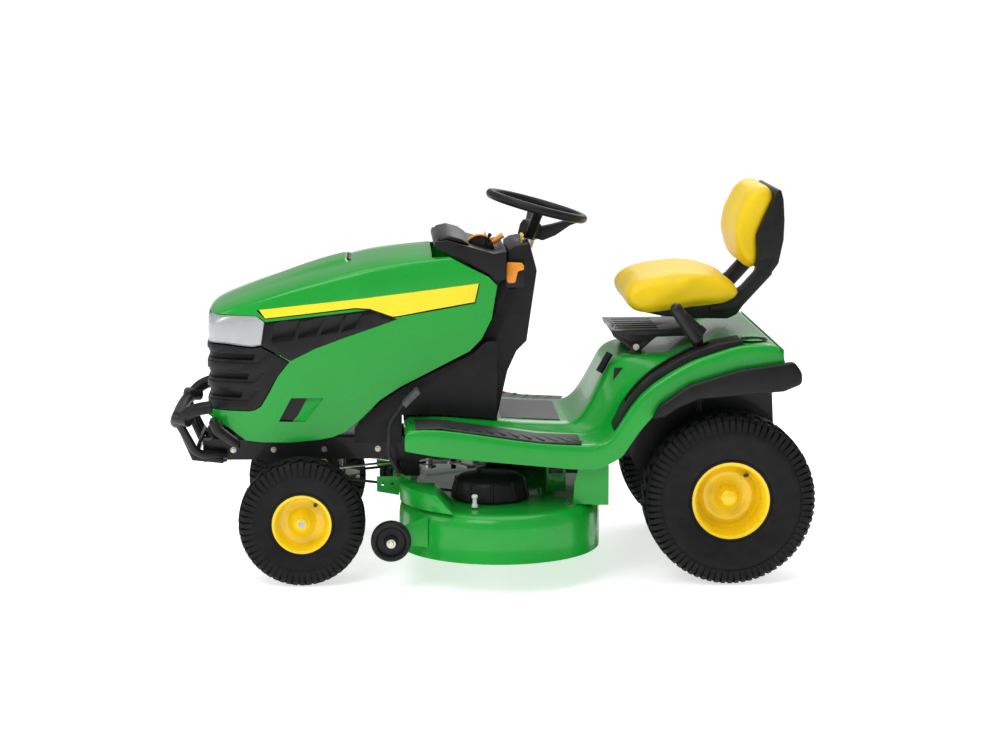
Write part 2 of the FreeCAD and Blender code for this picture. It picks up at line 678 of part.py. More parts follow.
def pinion_shaft():
    teeth = 10
    gear = involute_gear(teeth, float(gear_module), steer_plane - 2, steer_plane + arm_plate + 2)
    shaft = Part.makeCylinder(9.5, 118, Vector(0, 0, 297))
    tail = Part.makeCylinder(8, 20, Vector(0, 0, 264))
    joint = Part.makeSphere(15, Vector(0, 0, 429))
    shape = gear.fuse([shaft, tail, joint]).removeSplitter()
    shape.translate(Vector(float(pinion_x), 0, 0))
    return node("pinion_shaft", fixed("pinion_shaft", shape))


def steering_wheel():
    tilt = Rotation(Y_AXIS, -float(column_tilt))
    centre = Vector(float(wheel_x), 0, float(wheel_z))
    ring = doc.addObject("Part::Torus", "ring")
    bind(ring, "Radius1", wheel_ring)
    bind(ring, "Radius2", wheel_grip)
    hub = turned("wheel_hub", [(9.6, -100), (30, -100), (36, -70), (30, -48), (9.6, -48)])
    spokes = []
    for i, angle in enumerate((90, 180, 270)):
        spoke = prism(f"spoke_{i}", "XZ_Plane", [(20, -92), (20, -60), (70, -30), (wheel_ring - 4, -5),
                                                 (wheel_ring + 4, -9), (90, -44), (40, -92)],
                      Dim(-13, "-13"), Dim(13, "13"))
        spoke.Placement = Placement(Vector(), Rotation(Z_AXIS, angle))
        spokes.append(spoke)
    wheel = fuse("steering_wheel", [ring, hub] + spokes)
    wheel.Placement = Placement(centre, tilt)
    return node("steering_wheel", wheel)


def column_point(distance):
    """A point on the steering column's axis, that far below the wheel's centre."""
    tilt = math.radians(float(column_tilt))
    return Vector(float(wheel_x) + distance * math.sin(tilt), 0, float(wheel_z) - distance * math.cos(tilt))


def steering_shaft():
    shaft = rod("column_shaft", column_point(46), column_point(648.5), 9.5)
    cover = rod("column_cover", column_point(101), column_point(125), 22)
    return node("steering_shaft", fuse("steering_shaft", [shaft, cover]))


# ---------------------------------------------------------------- wheels

def tyre(label, radius, bead, width, x, y, side):
    half, wall, lip = width / 2, 9, 13
    outer = [(bead, -half * 0.76), (bead + lip, -half * 0.76), (bead + lip + 3, -half * 0.86), ((radius + bead) / 2, -half),
             (radius - 22, -half * 0.97), (radius - 5, -half * 0.82), (radius, -half * 0.5),
             (radius, half * 0.5), (radius - 5, half * 0.82), (radius - 22, half * 0.97),
             ((radius + bead) / 2, half), (bead + lip + 3, half * 0.86), (bead + lip, half * 0.76),
             (bead, half * 0.76)]
    inner = [(bead, half * 0.76 - wall), (bead + 16, half * 0.86 - wall), ((radius + bead) / 2, half - wall),
             (radius - 26, half * 0.97 - wall), (radius - 17, half * 0.7), (radius - 15, 0),
             (radius - 17, -half * 0.7), (radius - 26, wall - half * 0.97), ((radius + bead) / 2, wall - half),
             (bead + 16, wall - half * 0.86), (bead, wall - half * 0.76)]
    body = turned(label, outer + inner, Vector(float(x), float(y), float(radius)), along_y(side))
    return node(label, body)


def front_rim(side, label):
    half, b = front_width / 2, front_bead
    outline = [(b - 0.3, -half * 0.76), (b + 7, -half * 0.76 - 1), (b + 7, -half * 0.76 - 4), (b - 4, -half * 0.76 - 4),
               (b - 12, -10), (30, -16), (17, -34), (stub_radius + running, -34),
               (stub_radius + running, 52), (17, 52), (26, 44), (34, 10),
               (b - 24, 8), (b - 10, 24), (b - 4, half * 0.76 + 4), (b + 7, half * 0.76 + 4),
               (b + 7, half * 0.76 + 1), (b - 0.3, half * 0.76)]
    return node(f"front_rim_{label}", turned(f"front_rim_{label}", outline, Vector(float(wheelbase), float(side * front_half_track),
                                                                      float(front_radius)), along_y(side)))


def rear_rim(side, label):
    half, b = rear_width / 2, rear_bead
    place = Vector(0, float(side * rear_half_track), float(rear_radius))
    outline = [(b - 0.3, -half * 0.76), (b + 12, -half * 0.76 - 1), (b + 12, -half * 0.76 - 5),
               (b - 5, -half * 0.76 - 5), (b - 20, -30), (40, -34), (26, -60), (stub_radius + running, -60),
               (stub_radius + running, 32), (26, 32),
               (40, -6), (60, 2), (b - 30, -12), (b - 14, 10), (b - 5, half * 0.76 + 5), (b + 12, half * 0.76 + 5),
               (b + 12, half * 0.76 + 1), (b - 0.3, half * 0.76)]
    rim = turned(f"rear_rim_disc_{label}", outline, place, along_y(side))
    shaft = rod(f"half_shaft_{label}", (0, side * 2, rear_radius), (0, side * (rear_half_track + 40), rear_radius),
                stub_radius)
    return node(f"rear_rim_{label}", group(f"rear_rim_{label}", [rim, shaft]))


# ---------------------------------------------------------------- cutting deck

def deck_circles():
    return [(deck_right_x, -mandrel_half, deck_radius), (deck_x, mandrel_half, deck_radius)]


def deck_shell():
    bottom, top, wall = float(deck_bottom), float(deck_top), float(deck_wall)
    outer = slab(deck_circles(), bottom, top)
    low, high = 630, 890
    duct = Part.makeBox(high - low, 190, top - bottom, Vector(low, -float(chute_reach), bottom))
    outer = outer.fuse(duct)
    # raised front quarters
    for side, x in ((LEFT, float(deck_x)), (RIGHT, float(deck_right_x))):
        hump = Part.makeCylinder(float(deck_radius) - 1, 60, Vector(x, side * float(mandrel_half), top - 1))
        wedge = extruded([(x + 140, top - 1), (x + 190, top + 50), (x + 330, top + 55), (x + 330, top - 1)],
                         min(side * 300, side * 520), max(side * 300, side * 520))
        if side == LEFT:
            outer = outer.fuse(hump.common(wedge))
    inner = slab(deck_circles(), bottom - 5, top - wall, -wall)
    duct_inner = Part.makeBox(high - low - 2 * wall, 200, top - bottom - wall + 5,
                              Vector(low + wall, -float(chute_reach) - 10, bottom - 5))
    shell = outer.cut(inner).cut(duct_inner)
    pieces = []
    belt_way = slab(mower_loop(), float(belt_plane) - 9, float(belt_plane) + 9, 6)
    for side, x in ((LEFT, float(mandrel_x)), (RIGHT, float(mandrel_right_x))):
        pieces.append(Part.makeCylinder(38, 46, Vector(x, side * float(mandrel_half), 192)))
    for side, x in ((LEFT, 985), (RIGHT, 957)):
        near, far = sorted((side * 462, side * 468))
        start = x - 112 if side == LEFT else x - 150
        pieces.append(extruded([(start, 130), (start, 225), (x + 14, 172), (x + 14, 143)], near, far))
        pieces.append(Part.makeCylinder(8, 74, Vector(x, side * 464, float(gauge_height)), Vector(0, side, 0)))
        near, far = sorted((side * 196, side * 201))
        front = extruded([(880, 233), (900, 262), (957, 285), (1024, 285), (1024, 240), (957, 228), (940, 200)],
                         near, far)
        pieces.append(front.cut(belt_way))
        # hanger strap with its window for the lift arm's pin
        near, far = sorted((side * 203, side * 208))
        pin = float(lift_x + lift_arm)
        strap = extruded([(pin - 37, 233), (pin - 37, 322), (pin + 21, 322), (pin + 21, 233)], near, far)
        window = extruded([(pin - 29, 291), (pin - 29, 312), (pin + 13, 312), (pin + 13, 291)], near - 2, far + 2)
        pieces.append(strap.cut(window))
    pieces.append(extruded([(352, 234), (352, 350), (438, 350), (452, 300), (456, 234)], 394, 398))
    shell = shell.fuse(pieces)
    for side, x in ((LEFT, float(mandrel_x)), (RIGHT, float(mandrel_right_x))):
        shell = shell.cut(Part.makeCylinder(12 + float(running), 80, Vector(x, side * float(mandrel_half), 180)))
    for x in (978, 1006):
        shell = shell.cut(Part.makeCylinder(5, 500, Vector(x, -250, 262), Y_AXIS))
    return node("deck_shell", fixed("deck_shell", shell.removeSplitter()))


def discharge_deflector():
    y = -float(chute_reach) - 4
    hood = [(y, 238), (y - 90, 230), (y - 160, 196), (y - 196, 140)]
    outline = hood + [(a + b, z - 4) for a, b, z in ((y - 196, 4, 142), (y - 160, 3, 196), (y - 90, 1, 230), (y, 0, 238))]
    plate = prism("deflector_plate", "YZ_Plane", outline, Dim(634, "634"), Dim(886, "886"))
    cheeks = []
    cheek = [(y - 1, 235), (y - 90, 228), (y - 158, 194), (y - 192, 141), (y - 120, 150), (y - 1, 190)]
    for i, x in enumerate((634, 882)):
        cheeks.append(prism(f"deflector_cheek_{i}", "YZ_Plane", cheek, Dim(x, str(x)), Dim(x + 4, str(x + 4))))
    return node("discharge_deflector", fuse("discharge_deflector", [plate] + cheeks))


def mandrel(side, label):
    x = mandrel_x if side == LEFT else mandrel_right_x
    outline = ([(0, 116), (22, 116), (22, 122), (12, 122)] + pulley_profile(60, belt_plane)
               + [(12, 272), (0, 272)])
    return node(f"mandrel_{label}", turned(f"mandrel_{label}", outline, Vector(float(x), float(side * mandrel_half), 0)))


def blade(side, label):
    x = float(mandrel_x if side == LEFT else mandrel_right_x)
    y = float(side * mandrel_half)
    r = float(blade_radius)
    outline = [(-r, -26), (-r, 30), (-r + 110, 30), (-r + 130, 26), (r, 26), (r, -30), (r - 110, -30), (r - 130, -26)]
    bar = prism(f"blade_bar_{label}", "XY_Plane", outline, Dim(110, "110"), Dim(115.6, "115.6"))
    lift = []
    for turn in (1, -1):
        wing = [(turn * 20, 115), (turn * 30, 115), (turn * 33, 134), (turn * 29, 134)]
        low, high = sorted((turn * (-r + 4), turn * (-r + 100)))
        lift.append(prism(f"blade_wing_{label}_{turn}", "YZ_Plane", wing, Dim(low, str(low)), Dim(high, str(high))))
    bolt = disc(f"blade_bolt_{label}", "XY_Plane", 0, 0, 15, Dim(100, "100"), Dim(110.5, "110.5"))
    made = fuse(f"blade_{label}", [bar, bolt] + lift)
    made.Placement = Placement(Vector(x, y, 0), Rotation(Z_AXIS, 90 if side == LEFT else 0))
    return node(f"blade_{label}", made)


def mower_loop():
    return [(mandrel_right_x, -mandrel_half, 60), (crank_x, 0, 55), (mandrel_x, mandrel_half, 60)]


def mower_belt():
    plane = float(belt_plane)
    outer = slab(mower_loop(), plane - 3.2, plane + 3.2, -1.5)
    inner = slab(mower_loop(), plane - 5, plane + 5, -10.6)
    return node("mower_belt", fixed("mower_belt", outer.cut(inner)))


def belt_covers():
    covers = []
    plane = float(belt_plane)
    slot = slab(mower_loop(), plane - 9, plane + 9, 6)
    for side, x in ((LEFT, float(mandrel_x)), (RIGHT, float(mandrel_right_x))):
        y = side * float(mandrel_half)
        low = float(deck_top) + 0.4
        outer = Part.makeCone(113, 100, 66, Vector(x, y, low))
        inner = Part.makeCone(110, 97, 63, Vector(x, y, low - 0.01))
        lift_arm_way = Part.makeBox(100, 72, 90, Vector(432, -222, 225))
        covers.append(fixed(f"belt_cover_{side}", outer.cut(inner).cut(slot).cut(lift_arm_way)))
    return node("belt_covers", group("belt_covers", covers))


def gauge_wheel(side, label):
    x = 985 if side == LEFT else 957
    half, r = gauge_width / 2, gauge_radius
    outline = [(8 + running, -half * 0.7), (16, -half * 0.7), (16, -4), (r - 16, -4), (r - 12, -half), (r - 4, -half),
               (r, -half * 0.6), (r, half * 0.6), (r - 4, half), (r - 12, half), (r - 16, 6), (16, 6),
               (16, half * 0.8), (8 + running, half * 0.8)]
    return node(f"gauge_wheel_{label}", turned(f"gauge_wheel_{label}", outline,
                                               Vector(x, float(side * gauge_half), float(gauge_height)), along_y(side)))


# ---------------------------------------------------------------- hood

# Stations along the hood: x, half width, height of the shoulder line, height of the crown
HOOD_STATIONS = [(650, 226, 960, 972), (760, 240, 955, 967), (860, 250, 946, 963), (960, 258, 934, 955),
                 (1080, 262, 910, 938), (1200, 262, 876, 915), (1300, 259, 848, 887), (1400, 247, 815, 848),
                 (1460, 228, 793, 822), (1500, 202, 774, 797), (1522, 170, 752, 768)]


def hood_section(x, half, shoulder, crown, shrink, drop):
    """A closed outline across the hood, with the same corners at every station."""
    half, shoulder, crown, low = half - shrink, shoulder - shrink, crown - shrink, 380 - drop
    side = [(half - 6, low), (half, low + 150), (half + 2, shoulder - 150), (half - 3, shoulder - 30),
            (half - 16, shoulder), (half * 0.68, (shoulder + crown) / 2 + 6), (half * 0.3, crown - 2)]
    corners = side + [(-y, z) for y, z in side[::-1]]
    points = [Vector(x, y, z) for y, z in corners]
    return Part.makePolygon(points + points[:1])


def hood_loft(shrink, rear, drop):
    wires = []
    for i, (x, half, shoulder, crown) in enumerate(HOOD_STATIONS):
        at = x - shrink if i == len(HOOD_STATIONS) - 1 else x
        at = x - rear if i == 0 else at
        wires.append(hood_section(at, half, shoulder, crown, shrink, drop))
    return Part.makeLoft(wires, True, True)


HOOD_SIDE = [(858, 1000), (853, 970), (747, 911), (690, 882), (667, 856), (684, 759), (714, 700), (749, 665),
             (866, 607), (954, 563), (1013, 525), (1072, 466), (1116, 431), (1189, 408), (1277, 400),
             (1408, 401), (1446, 434), (1495, 470), (1540, 478), (1540, 1000)]
VENT_SIDE = [(1352, 755), (1243, 768), (1083, 787), (1025, 793), (964, 763), (1113, 711), (1274, 650), (1344, 688)]
FACE_SIDE = [(1540, 776), (1447, 776), (1369, 775), (1345, 757), (1355, 686), (1275, 641), (1310, 597),
             (1359, 508), (1394, 493), (1540, 493)]
LIGHT_SIDE = [(1538, 774), (1447, 774), (1370, 773), (1348, 756), (1358, 692), (1538, 692)]
GRILLE_SIDE = [(1538, 690), (1356, 690), (1356.5, 684), (1279, 640), (1312, 599), (1361, 510), (1395, 495),
               (1538, 495)]


def inset(points, margin):
    """A polygon drawn in towards its middle by about margin."""
    cx, cz = sum(p[0] for p in points) / len(points), sum(p[1] for p in points) / len(points)
    out = []
    for x, z in points:
        away = math.hypot(x - cx, z - cz)
        out.append((x - (x - cx) / away * margin, z - (z - cz) / away * margin))
    return out


def across(name, points, half=300):
    return fixed(name, extruded(points, -half, half))


def hood_parts():
    wall = float(hood_wall)
    outer = fixed("hood_outer", hood_loft(0, 0, 0))
    inner = fixed("hood_inner", hood_loft(wall, 40, 20))
    skin = cut("hood_skin", outer, inner)
    side = common("hood_trimmed", skin, across("hood_side_outline", HOOD_SIDE))
    windows = fuse("hood_windows", [across("vent_opening", VENT_SIDE), across("face_opening", FACE_SIDE),
                                    box("dash_notch", (600, -panel_half - 3, 850), (858, panel_half + 3, 1000))])
    shell = cut("hood_open", side, windows)
    knuckles = []
    for s in (LEFT, RIGHT):
        low, high = sorted((s * 66, s * 72))
        tab = [(hinge_x - 14, hinge_z - 14), (hinge_x - 14, hinge_z + 40), (hinge_x + 18, hinge_z + 46),
               (hinge_x + 18, hinge_z + 8), (hinge_x + 8, hinge_z - 14)]
        knuckles.append(prism(f"hood_tab_{s}", "XZ_Plane", tab, Dim(low, str(low)), Dim(high, str(high)),
                              [(hinge_x, hinge_z, 6 + running)]))
    lip = box("hood_lip", (1490, -160, 472), (1519, 160, 476))
    node("hood_shell", fuse("hood_shell", [shell, lip] + knuckles))

    face_skin = common("face_skin", skin, across("grille_outline", GRILLE_SIDE))
    slots = []
    for i, z in enumerate((525, 582, 639)):
        slots.append(box(f"louvre_{i}", (1440, -150, z), (1560, 150, z + 20)))
    node("front_grille", cut("front_grille", face_skin, fuse("louvres", slots)))

    lens_skin = common("lens_skin", skin, across("light_outline", LIGHT_SIDE))
    middle = box("light_gap", (1300, -62, 600), (1600, 62, 900))
    node("headlights", cut("headlights", lens_skin, middle))

    panel = common("vent_skin", skin, across("vent_outline", inset(VENT_SIDE, 3)))
    node("side_vents", panel)


# ---------------------------------------------------------------- dash and fenders

def dash_tower():
    column = [(664, 458), (634, 593), (607, 653), (577, 683), (547, 892), (553, 916), (568, 972), (612, 964),
              (630, 952), (634, 868), (658, 848), (674, 757), (705, 694), (741, 656), (741, 462)]
    cowl = [(668, 458), (668, 690), (700, 690), (741, 654), (860, 598), (948, 554), (1005, 517), (1061, 461),
            (1088, 434), (1088, 392), (950, 392), (948, 474), (842, 474)]
    outer = extruded(column, -float(tower_half), float(tower_half)).fuse(
        extruded(cowl, -float(cowl_half), float(cowl_half)))
    column_in = [(668, 440), (638, 594), (611, 655), (581, 686), (551, 892), (557, 915), (571, 967), (610, 960),
                 (626, 949), (630, 866), (654, 846), (670, 756), (702, 691), (745, 650), (745, 440)]
    cowl_in = [(672, 440), (672, 686), (698, 686), (739, 650), (858, 594), (946, 550), (1002, 513), (1058, 458),
               (1084, 432), (1084, 380), (954, 380), (952, 440)]
    inner = extruded(column_in, 4 - float(tower_half), float(tower_half) - 4).fuse(
        extruded(cowl_in, 4 - float(cowl_half), float(cowl_half) - 4))
    engine_room = Part.makeBox(400, 2 * float(cowl_half) - 30, 400, Vector(762, 15 - float(cowl_half), 380))
    shell = outer.cut(inner).cut(engine_room)
    hole = Part.makeCylinder(26, 120, column_point(60), column_point(100) - column_point(60))
    slot = Part.makeBox(26, 40, 54, Vector(606, float(tower_half) - 20, 838))
    knob = Part.makeCylinder(3 + float(running), 60, Vector(588, 95, 930))
    return node("dash_tower", fixed("dash_tower", shell.cut(hole).cut(slot).cut(knob)))


def dash_panel():
    outline = [(852, 972), (848, 984), (812, 987), (740, 967), (676, 948), (640, 956), (640, 874), (672, 868),
               (692, 889), (749, 918)]
    body = extruded(outline, -float(panel_half), float(panel_half))
    hollow = [(838, 973), (812, 981), (742, 961), (676, 942), (644, 950), (644, 880), (670, 873), (690, 894),
              (747, 923)]
    shell = body.cut(extruded(hollow, 4 - float(panel_half), float(panel_half) - 4))
    lock = Part.makeCylinder(13, 14, Vector(690, -70, 944))
    shell = shell.fuse(lock)
    for y in (60, 110):
        shell = shell.cut(Part.makeBox(110, 10, 60, Vector(648, y - 5, 925)))
    shell = shell.cut(Part.makeCylinder(4, 40, Vector(690, -70, 930)))
    shell = shell.cut(Part.makeBox(28, 28, 75, Vector(636, 158, 855)))
    return node("dash_panel", fixed("dash_panel", shell))


FENDER_LINE = [(942, 420), (940, 458), (925, 464), (842, 465), (727, 447), (554, 421), (410, 414), (352, 432),
               (324, 475), (290, 528), (227, 590), (111, 658), (-20, 700), (-118, 706), (-152, 655)]
SKIRT_UNDER = [(-150, 651), (37, 612), (123, 580), (209, 520), (266, 454), (317, 378), (381, 343), (453, 344),
               (612, 360), (842, 383), (942, 402)]
TUNNEL_LINE = [(942, 440), (940, 466), (842, 469), (660, 452), (440, 442), (335, 640), (60, 644), (-60, 700),
               (-128, 706), (-155, 655)]


def fender_deck():
    t = float(sheet_metal)
    middle = extruded(ribbon(TUNNEL_LINE, t), -250, 250)
    pieces = []
    for side in (LEFT, RIGHT):
        low, high = sorted((side * 247, side * float(foot_half)))
        pieces.append(extruded(ribbon(FENDER_LINE, t), low, high))
        low, high = sorted((side * (float(foot_half) - t), side * float(foot_half)))
        pieces.append(extruded(FENDER_LINE[::-1] + SKIRT_UNDER[::-1], low, high))
        # cheek between the seat riser and the fender
        cheek = [(440, 438), (335, 638), (60, 642), (-60, 698), (-20, 694), (111, 652), (227, 584), (290, 522),
                 (324, 469), (352, 428), (410, 412)]
        low, high = sorted((side * 246.5, side * 250))
        pieces.append(extruded(cheek, low, high))
        low, high = sorted((side * 153, side * 159))
        ear = [(float(seat_pivot_x) - 16, 640), (float(seat_pivot_x) - 12, 674), (float(seat_pivot_x) + 12, 674),
               (float(seat_pivot_x) + 16, 640)]
        pieces.append(extruded(ear, low, high))
        pieces.append(Part.makeCylinder(6, 24, Vector(float(seat_pivot_x), side * 138, float(seat_pivot_z)),
                                        Vector(0, side, 0)))
    shape = middle.fuse(pieces)
    shape = shape.cut(Part.makeBox(265, 28, 300, Vector(50, 316, 400)))
    shape = shape.cut(Part.makeBox(70, 80, 60, Vector(678, -40, 425)))
    return node("fender_deck", fixed("fender_deck", shape.removeSplitter()))


def fender_trims():
    outline = [(234, 493), (212, 537), (126, 594), (-17, 636), (-176, 658), (-200, 625), (-200, 592), (-148, 571),
               (-19, 561), (97, 550), (154, 527), (197, 499)]
    trims = []
    for side in (LEFT, RIGHT):
        low, high = sorted((side * (foot_half + 0.4), side * trim_half))
        trims.append(prism(f"trim_{side}", "XZ_Plane", outline, low, high))
    return node("fender_trims", group("fender_trims", trims))


def fender_side_panels():
    line = [(322, 480), (290, 528), (227, 590), (111, 658), (-8, 697)]
    panels = []
    for side in (LEFT, RIGHT):
        low, high = sorted((side * 284, side * 350))
        panel = extruded(ribbon(lift_line(line, 26), 14), low, high)
        if side == LEFT:
            panel = panel.cut(Part.makeBox(250, 38, 300, Vector(56, 311, 450)))
        panels.append(fixed(f"side_panel_{side}", panel))
    return node("fender_side_panels", group("fender_side_panels", panels))


def foot_mats():
    line = [(433, 415.4), (554, 421), (727, 447), (842, 465), (912, 464)]
    mats = []
    for side in (LEFT, RIGHT):
        low, high = sorted((side * 272, side * 414))
        mats.append(fixed(f"mat_{side}", extruded(ribbon(lift_line(line[::-1], 4.8), 4), low, high)))
    return node("foot_mats", group("foot_mats", mats))


def fuel_tank():
    tank = box("tank_body", (780, -185, 690), (950, 185, 850))
    neck = rod("tank_neck", (820, 120, 848), (820, 120, 888), 26)
    return node("fuel_tank", fuse("fuel_tank", [tank, neck]))


# ---------------------------------------------------------------- seat

def seat_bracket():
    plate = extruded([(325, 706), (325, 710), (60, 710), (60, 706)], -150, 150)
    shape = plate
    for side in (LEFT, RIGHT):
        low, high = sorted((side * 146, side * 150))
        flange = extruded([(325, 708), (318, 692), (285, 668), (264, 648), (238, 648), (190, 690), (60, 694), (60, 708)], low, high)
        shape = shape.fuse(flange)
        shape = shape.cut(Part.makeCylinder(6 + float(running), 40, Vector(float(seat_pivot_x), side * 130,
                                                                         float(seat_pivot_z)), Vector(0, side, 0)))
    for i in range(5):
        y = -100 + i * 50
        shape = shape.cut(Part.makeBox(120, 16, 20, Vector(180, y - 8, 700)))
    return node("seat_bracket", fixed("seat_bracket", shape.removeSplitter()))


def seat_pan():
    outline = [(268, 770), (253, 752), (181, 736), (62, 735), (-57, 744), (-78, 768), (-84, 798), (-60, 800), (67, 790),
               (215, 771)]
    pan = prism("pan", "XZ_Plane", outline, -seat_half + 22, seat_half - 22)
    hollow = box("pan_hollow", (0, -180, 700), (210, 180, 752))
    rails = [box(f"seat_rail_{s}", (-30, min(s * 96, s * 112), 710.4), (236, max(s * 96, s * 112), 770))
             for s in (LEFT, RIGHT)]
    return node("seat_pan", fuse("seat_pan", [cut("pan_open", pan, hollow)] + rails))


def seat_cushion():
    outline = [(322, 838), (316, 808), (292, 784), (262, 774), (215, 774), (67, 793), (-17, 804), (-62, 812), (-86, 822),
               (-70, 848), (-35, 868), (42, 893), (103, 897), (224, 880), (290, 858)]
    pad_body = prism("seat_pad", "XZ_Plane", outline, -seat_half, seat_half)
    return node("seat_cushion", pad_body)


def backrest_cushion():
    outline = [(-36, 990), (-50, 1055), (-92, 1140), (-130, 1163), (-163, 1160), (-172, 1125), (-107, 997),
               (-109, 902), (-68, 905), (-42, 945)]
    return node("backrest_cushion", prism("backrest_pad", "XZ_Plane", outline, -back_half, back_half))


def backrest_shell():
    upper = [(-167, 1162), (-182, 1158), (-198, 1100), (-190, 985), (-172, 915), (-113, 898), (-110.5, 998),
             (-175.5, 1126)]
    shell = extruded(upper, -float(back_half), float(back_half))
    for side in (LEFT, RIGHT):
        low, high = sorted((side * 128, side * 172))
        arm = [(-112, 900), (-170, 918), (-184, 890), (-176, 860), (-88, 757), (-88, 800), (-96, 830), (-120, 870)]
        shell = shell.fuse(extruded(arm, low, high))
    return node("backrest_shell", fixed("backrest_shell", shell.removeSplitter()))


# ---------------------------------------------------------------- levers, pedals and knobs

def lift_lever():
    x, z = float(lever_x), float(lever_z)
    lean = math.radians(6)

    def at(radius):
        return x + radius * math.sin(lean), z + radius * math.cos(lean)

    plate_top, post_low, post_high = at(178), at(170), at(305)
    blade_plate = extruded([(x - 22, z - 6), (x - 12, z + 60), (plate_top[0] - 12, plate_top[1]),
                            (plate_top[0] + 12, plate_top[1]), (x + 14, z + 60), (x + 22, z - 6), (x, z - 24)],
                           226, 232)
    cross = Part.makeCylinder(6, 104, Vector(post_low[0], 228, post_low[1]), Y_AXIS)
    post = Part.makeCylinder(6, 140, Vector(post_low[0], 330, post_low[1]),
                             Vector(math.sin(lean), 0, math.cos(lean)))
    shaft = Part.makeCylinder(12, 446, Vector(x, -214, z), Y_AXIS)
    grip_from, grip_to = Vector(post_high[0], 330, post_high[1] + 2), Vector(152, 330, 796)
    grip = Part.makeCylinder(19, (grip_to - grip_from).Length, grip_from, grip_to - grip_from)
    grip = grip.fuse([Part.makeSphere(19, grip_from), Part.makeSphere(19, grip_to)])
    shape = blade_plate.fuse([cross, post, shaft, grip])
    return node("lift_lever", fixed("lift_lever", shape.removeSplitter()))


def lift_shaft():
    shaft = rod("lift_cross_shaft", (lift_x, -200, lift_z), (lift_x, 200, lift_z), 10)
    pieces = [shaft]
    for side in (LEFT, RIGHT):
        low, high = sorted((side * 188, side * 196))
        arm = [(lift_x - 16, lift_z - 14), (lift_x - 16, lift_z + 14), (lift_x + lift_arm + 9, lift_z + 9),
               (lift_x + lift_arm + 9, lift_z - 9)]
        pieces.append(prism(f"lift_arm_{side}", "XZ_Plane", arm, Dim(low, str(low)), Dim(high, str(high))))
        pieces.append(rod(f"lift_pin_{side}", (lift_x + lift_arm, side * 190, lift_z),
                          (lift_x + lift_arm, side * 216, lift_z), lift_pin))
    return node("lift_shaft", fuse("lift_shaft", pieces))


def pedal(label, path, y, inner_y, pad_at, pad_lean):
    """A bent rod that pivots at its first point, with a tilted pad at its last."""
    first = Vector(path[0][0], y, path[0][1])
    bar = bent_tube([(px, y, pz) for px, pz in path], 6, 16)
    pivot = Part.makeCylinder(7, abs(inner_y - y) + 10, Vector(first.x, y + math.copysign(10, y - inner_y), first.z),
                              Vector(0, math.copysign(1, inner_y - y), 0))
    foot = Part.makeBox(58, 64, 14, Vector(-29, -32, -7))
    foot.Placement = Placement(Vector(pad_at[0], y, pad_at[1]), Rotation(Y_AXIS, pad_lean))
    return node(label, fixed(label, bar.fuse([pivot, foot]).removeSplitter()))


def controls():
    pedal("brake_pedal", [(960, 312), (992, 345), (1004, 400), (1000, 455), (950, 525), (925, 546)], 305, 120, (916, 545), 45)
    pedal("forward_pedal", [(960, 312), (1000, 345), (1020, 400), (1016, 455), (982, 520), (960, 545)], -300, -120, (950, 545), 40)
    pedal("reverse_pedal", [(915, 290), (976, 335), (984, 400), (980, 450), (930, 500), (912, 515)], -372, -120, (904, 515), 40)

    pivot = Vector(700, 56, 934)
    arm = Part.makeCylinder(3.6, 66, Vector(700, 60, 934), Vector(-50, 0, 50))
    dome = Part.makeCylinder(7, 8, pivot, Y_AXIS)
    tip = Part.makeBox(34, 8, 14, Vector(-17, -4, -7))
    tip.Placement = Placement(Vector(652, 60, 982), Rotation(Y_AXIS, 45))
    node("throttle_lever", fixed("throttle_lever", dome.fuse([arm, tip])))

    arm = Part.makeCylinder(3, 60, Vector(700, 110, 934), Vector(-16, 0, 60))
    dome = Part.makeCylinder(7, 8, Vector(700, 106, 934), Y_AXIS)
    tip = Part.makeSphere(6, Vector(684, 110, 993))
    node("choke_lever", fixed("choke_lever", dome.fuse([arm, tip])))

    y = float(tower_half)
    head = extruded([(590, 893), (590, 914), (598, 921), (650, 918), (654, 893)], y + 4, y + 20)
    grip = extruded([(602, 894), (606, 866), (640, 862), (646, 894)], y + 4, y + 20)
    stem = Part.makeBox(16, 40, 14, Vector(611, y - 30, 870))
    node("parking_brake_lever", fixed("parking_brake_lever", head.fuse([grip, stem]).removeSplitter()))

    stem = Part.makeCylinder(3, 50, Vector(588, 95, 940))
    bar = Part.makeCylinder(5, 36, Vector(588, 77, 992), Y_AXIS)
    node("pto_knob", fixed("pto_knob", stem.fuse(bar)))

    core = Part.makeCylinder(4 - float(running), 28, Vector(690, -70, 940))
    bow = Part.makeCylinder(12, 4, Vector(688, -70, 978), X_AXIS)
    node("ignition_key", fixed("ignition_key", core.fuse(bow).removeSplitter()))


# ---------------------------------------------------------------- the whole machine

def build():
    chassis_frame()
    front_guard()
    engine()
    crank_pulleys()
    transaxle()
    transaxle_pulley()
    traction_belt()
    axle_beam()
    for side, label in ((LEFT, "left"), (RIGHT, "right")):
        knuckle(side, label)
        tie_rod(side, label)
        tyre(f"front_tyre_{label}", front_radius, front_bead, front_width, wheelbase, side * front_half_track, side)
        tyre(f"rear_tyre_{label}", rear_radius, rear_bead, rear_width, Dim(0, "0"), side * rear_half_track, side)
        front_rim(side, label)
        rear_rim(side, label)
        mandrel(side, label)
        blade(side, label)
        gauge_wheel(side, label)
    sector_gear()
    pinion_shaft()
    steering_wheel()
    steering_shaft()
    deck_shell()
    discharge_deflector()
    mower_belt()
    belt_covers()
    hood_parts()
    dash_tower()
    dash_panel()
    fender_deck()
    fender_trims()
    fender_side_panels()
    foot_mats()
    fuel_tank()
    seat_bracket()
    seat_pan()
    seat_cushion()
    backrest_cushion()
    backrest_shell()
    lift_lever()
    lift_shaft()
    controls()


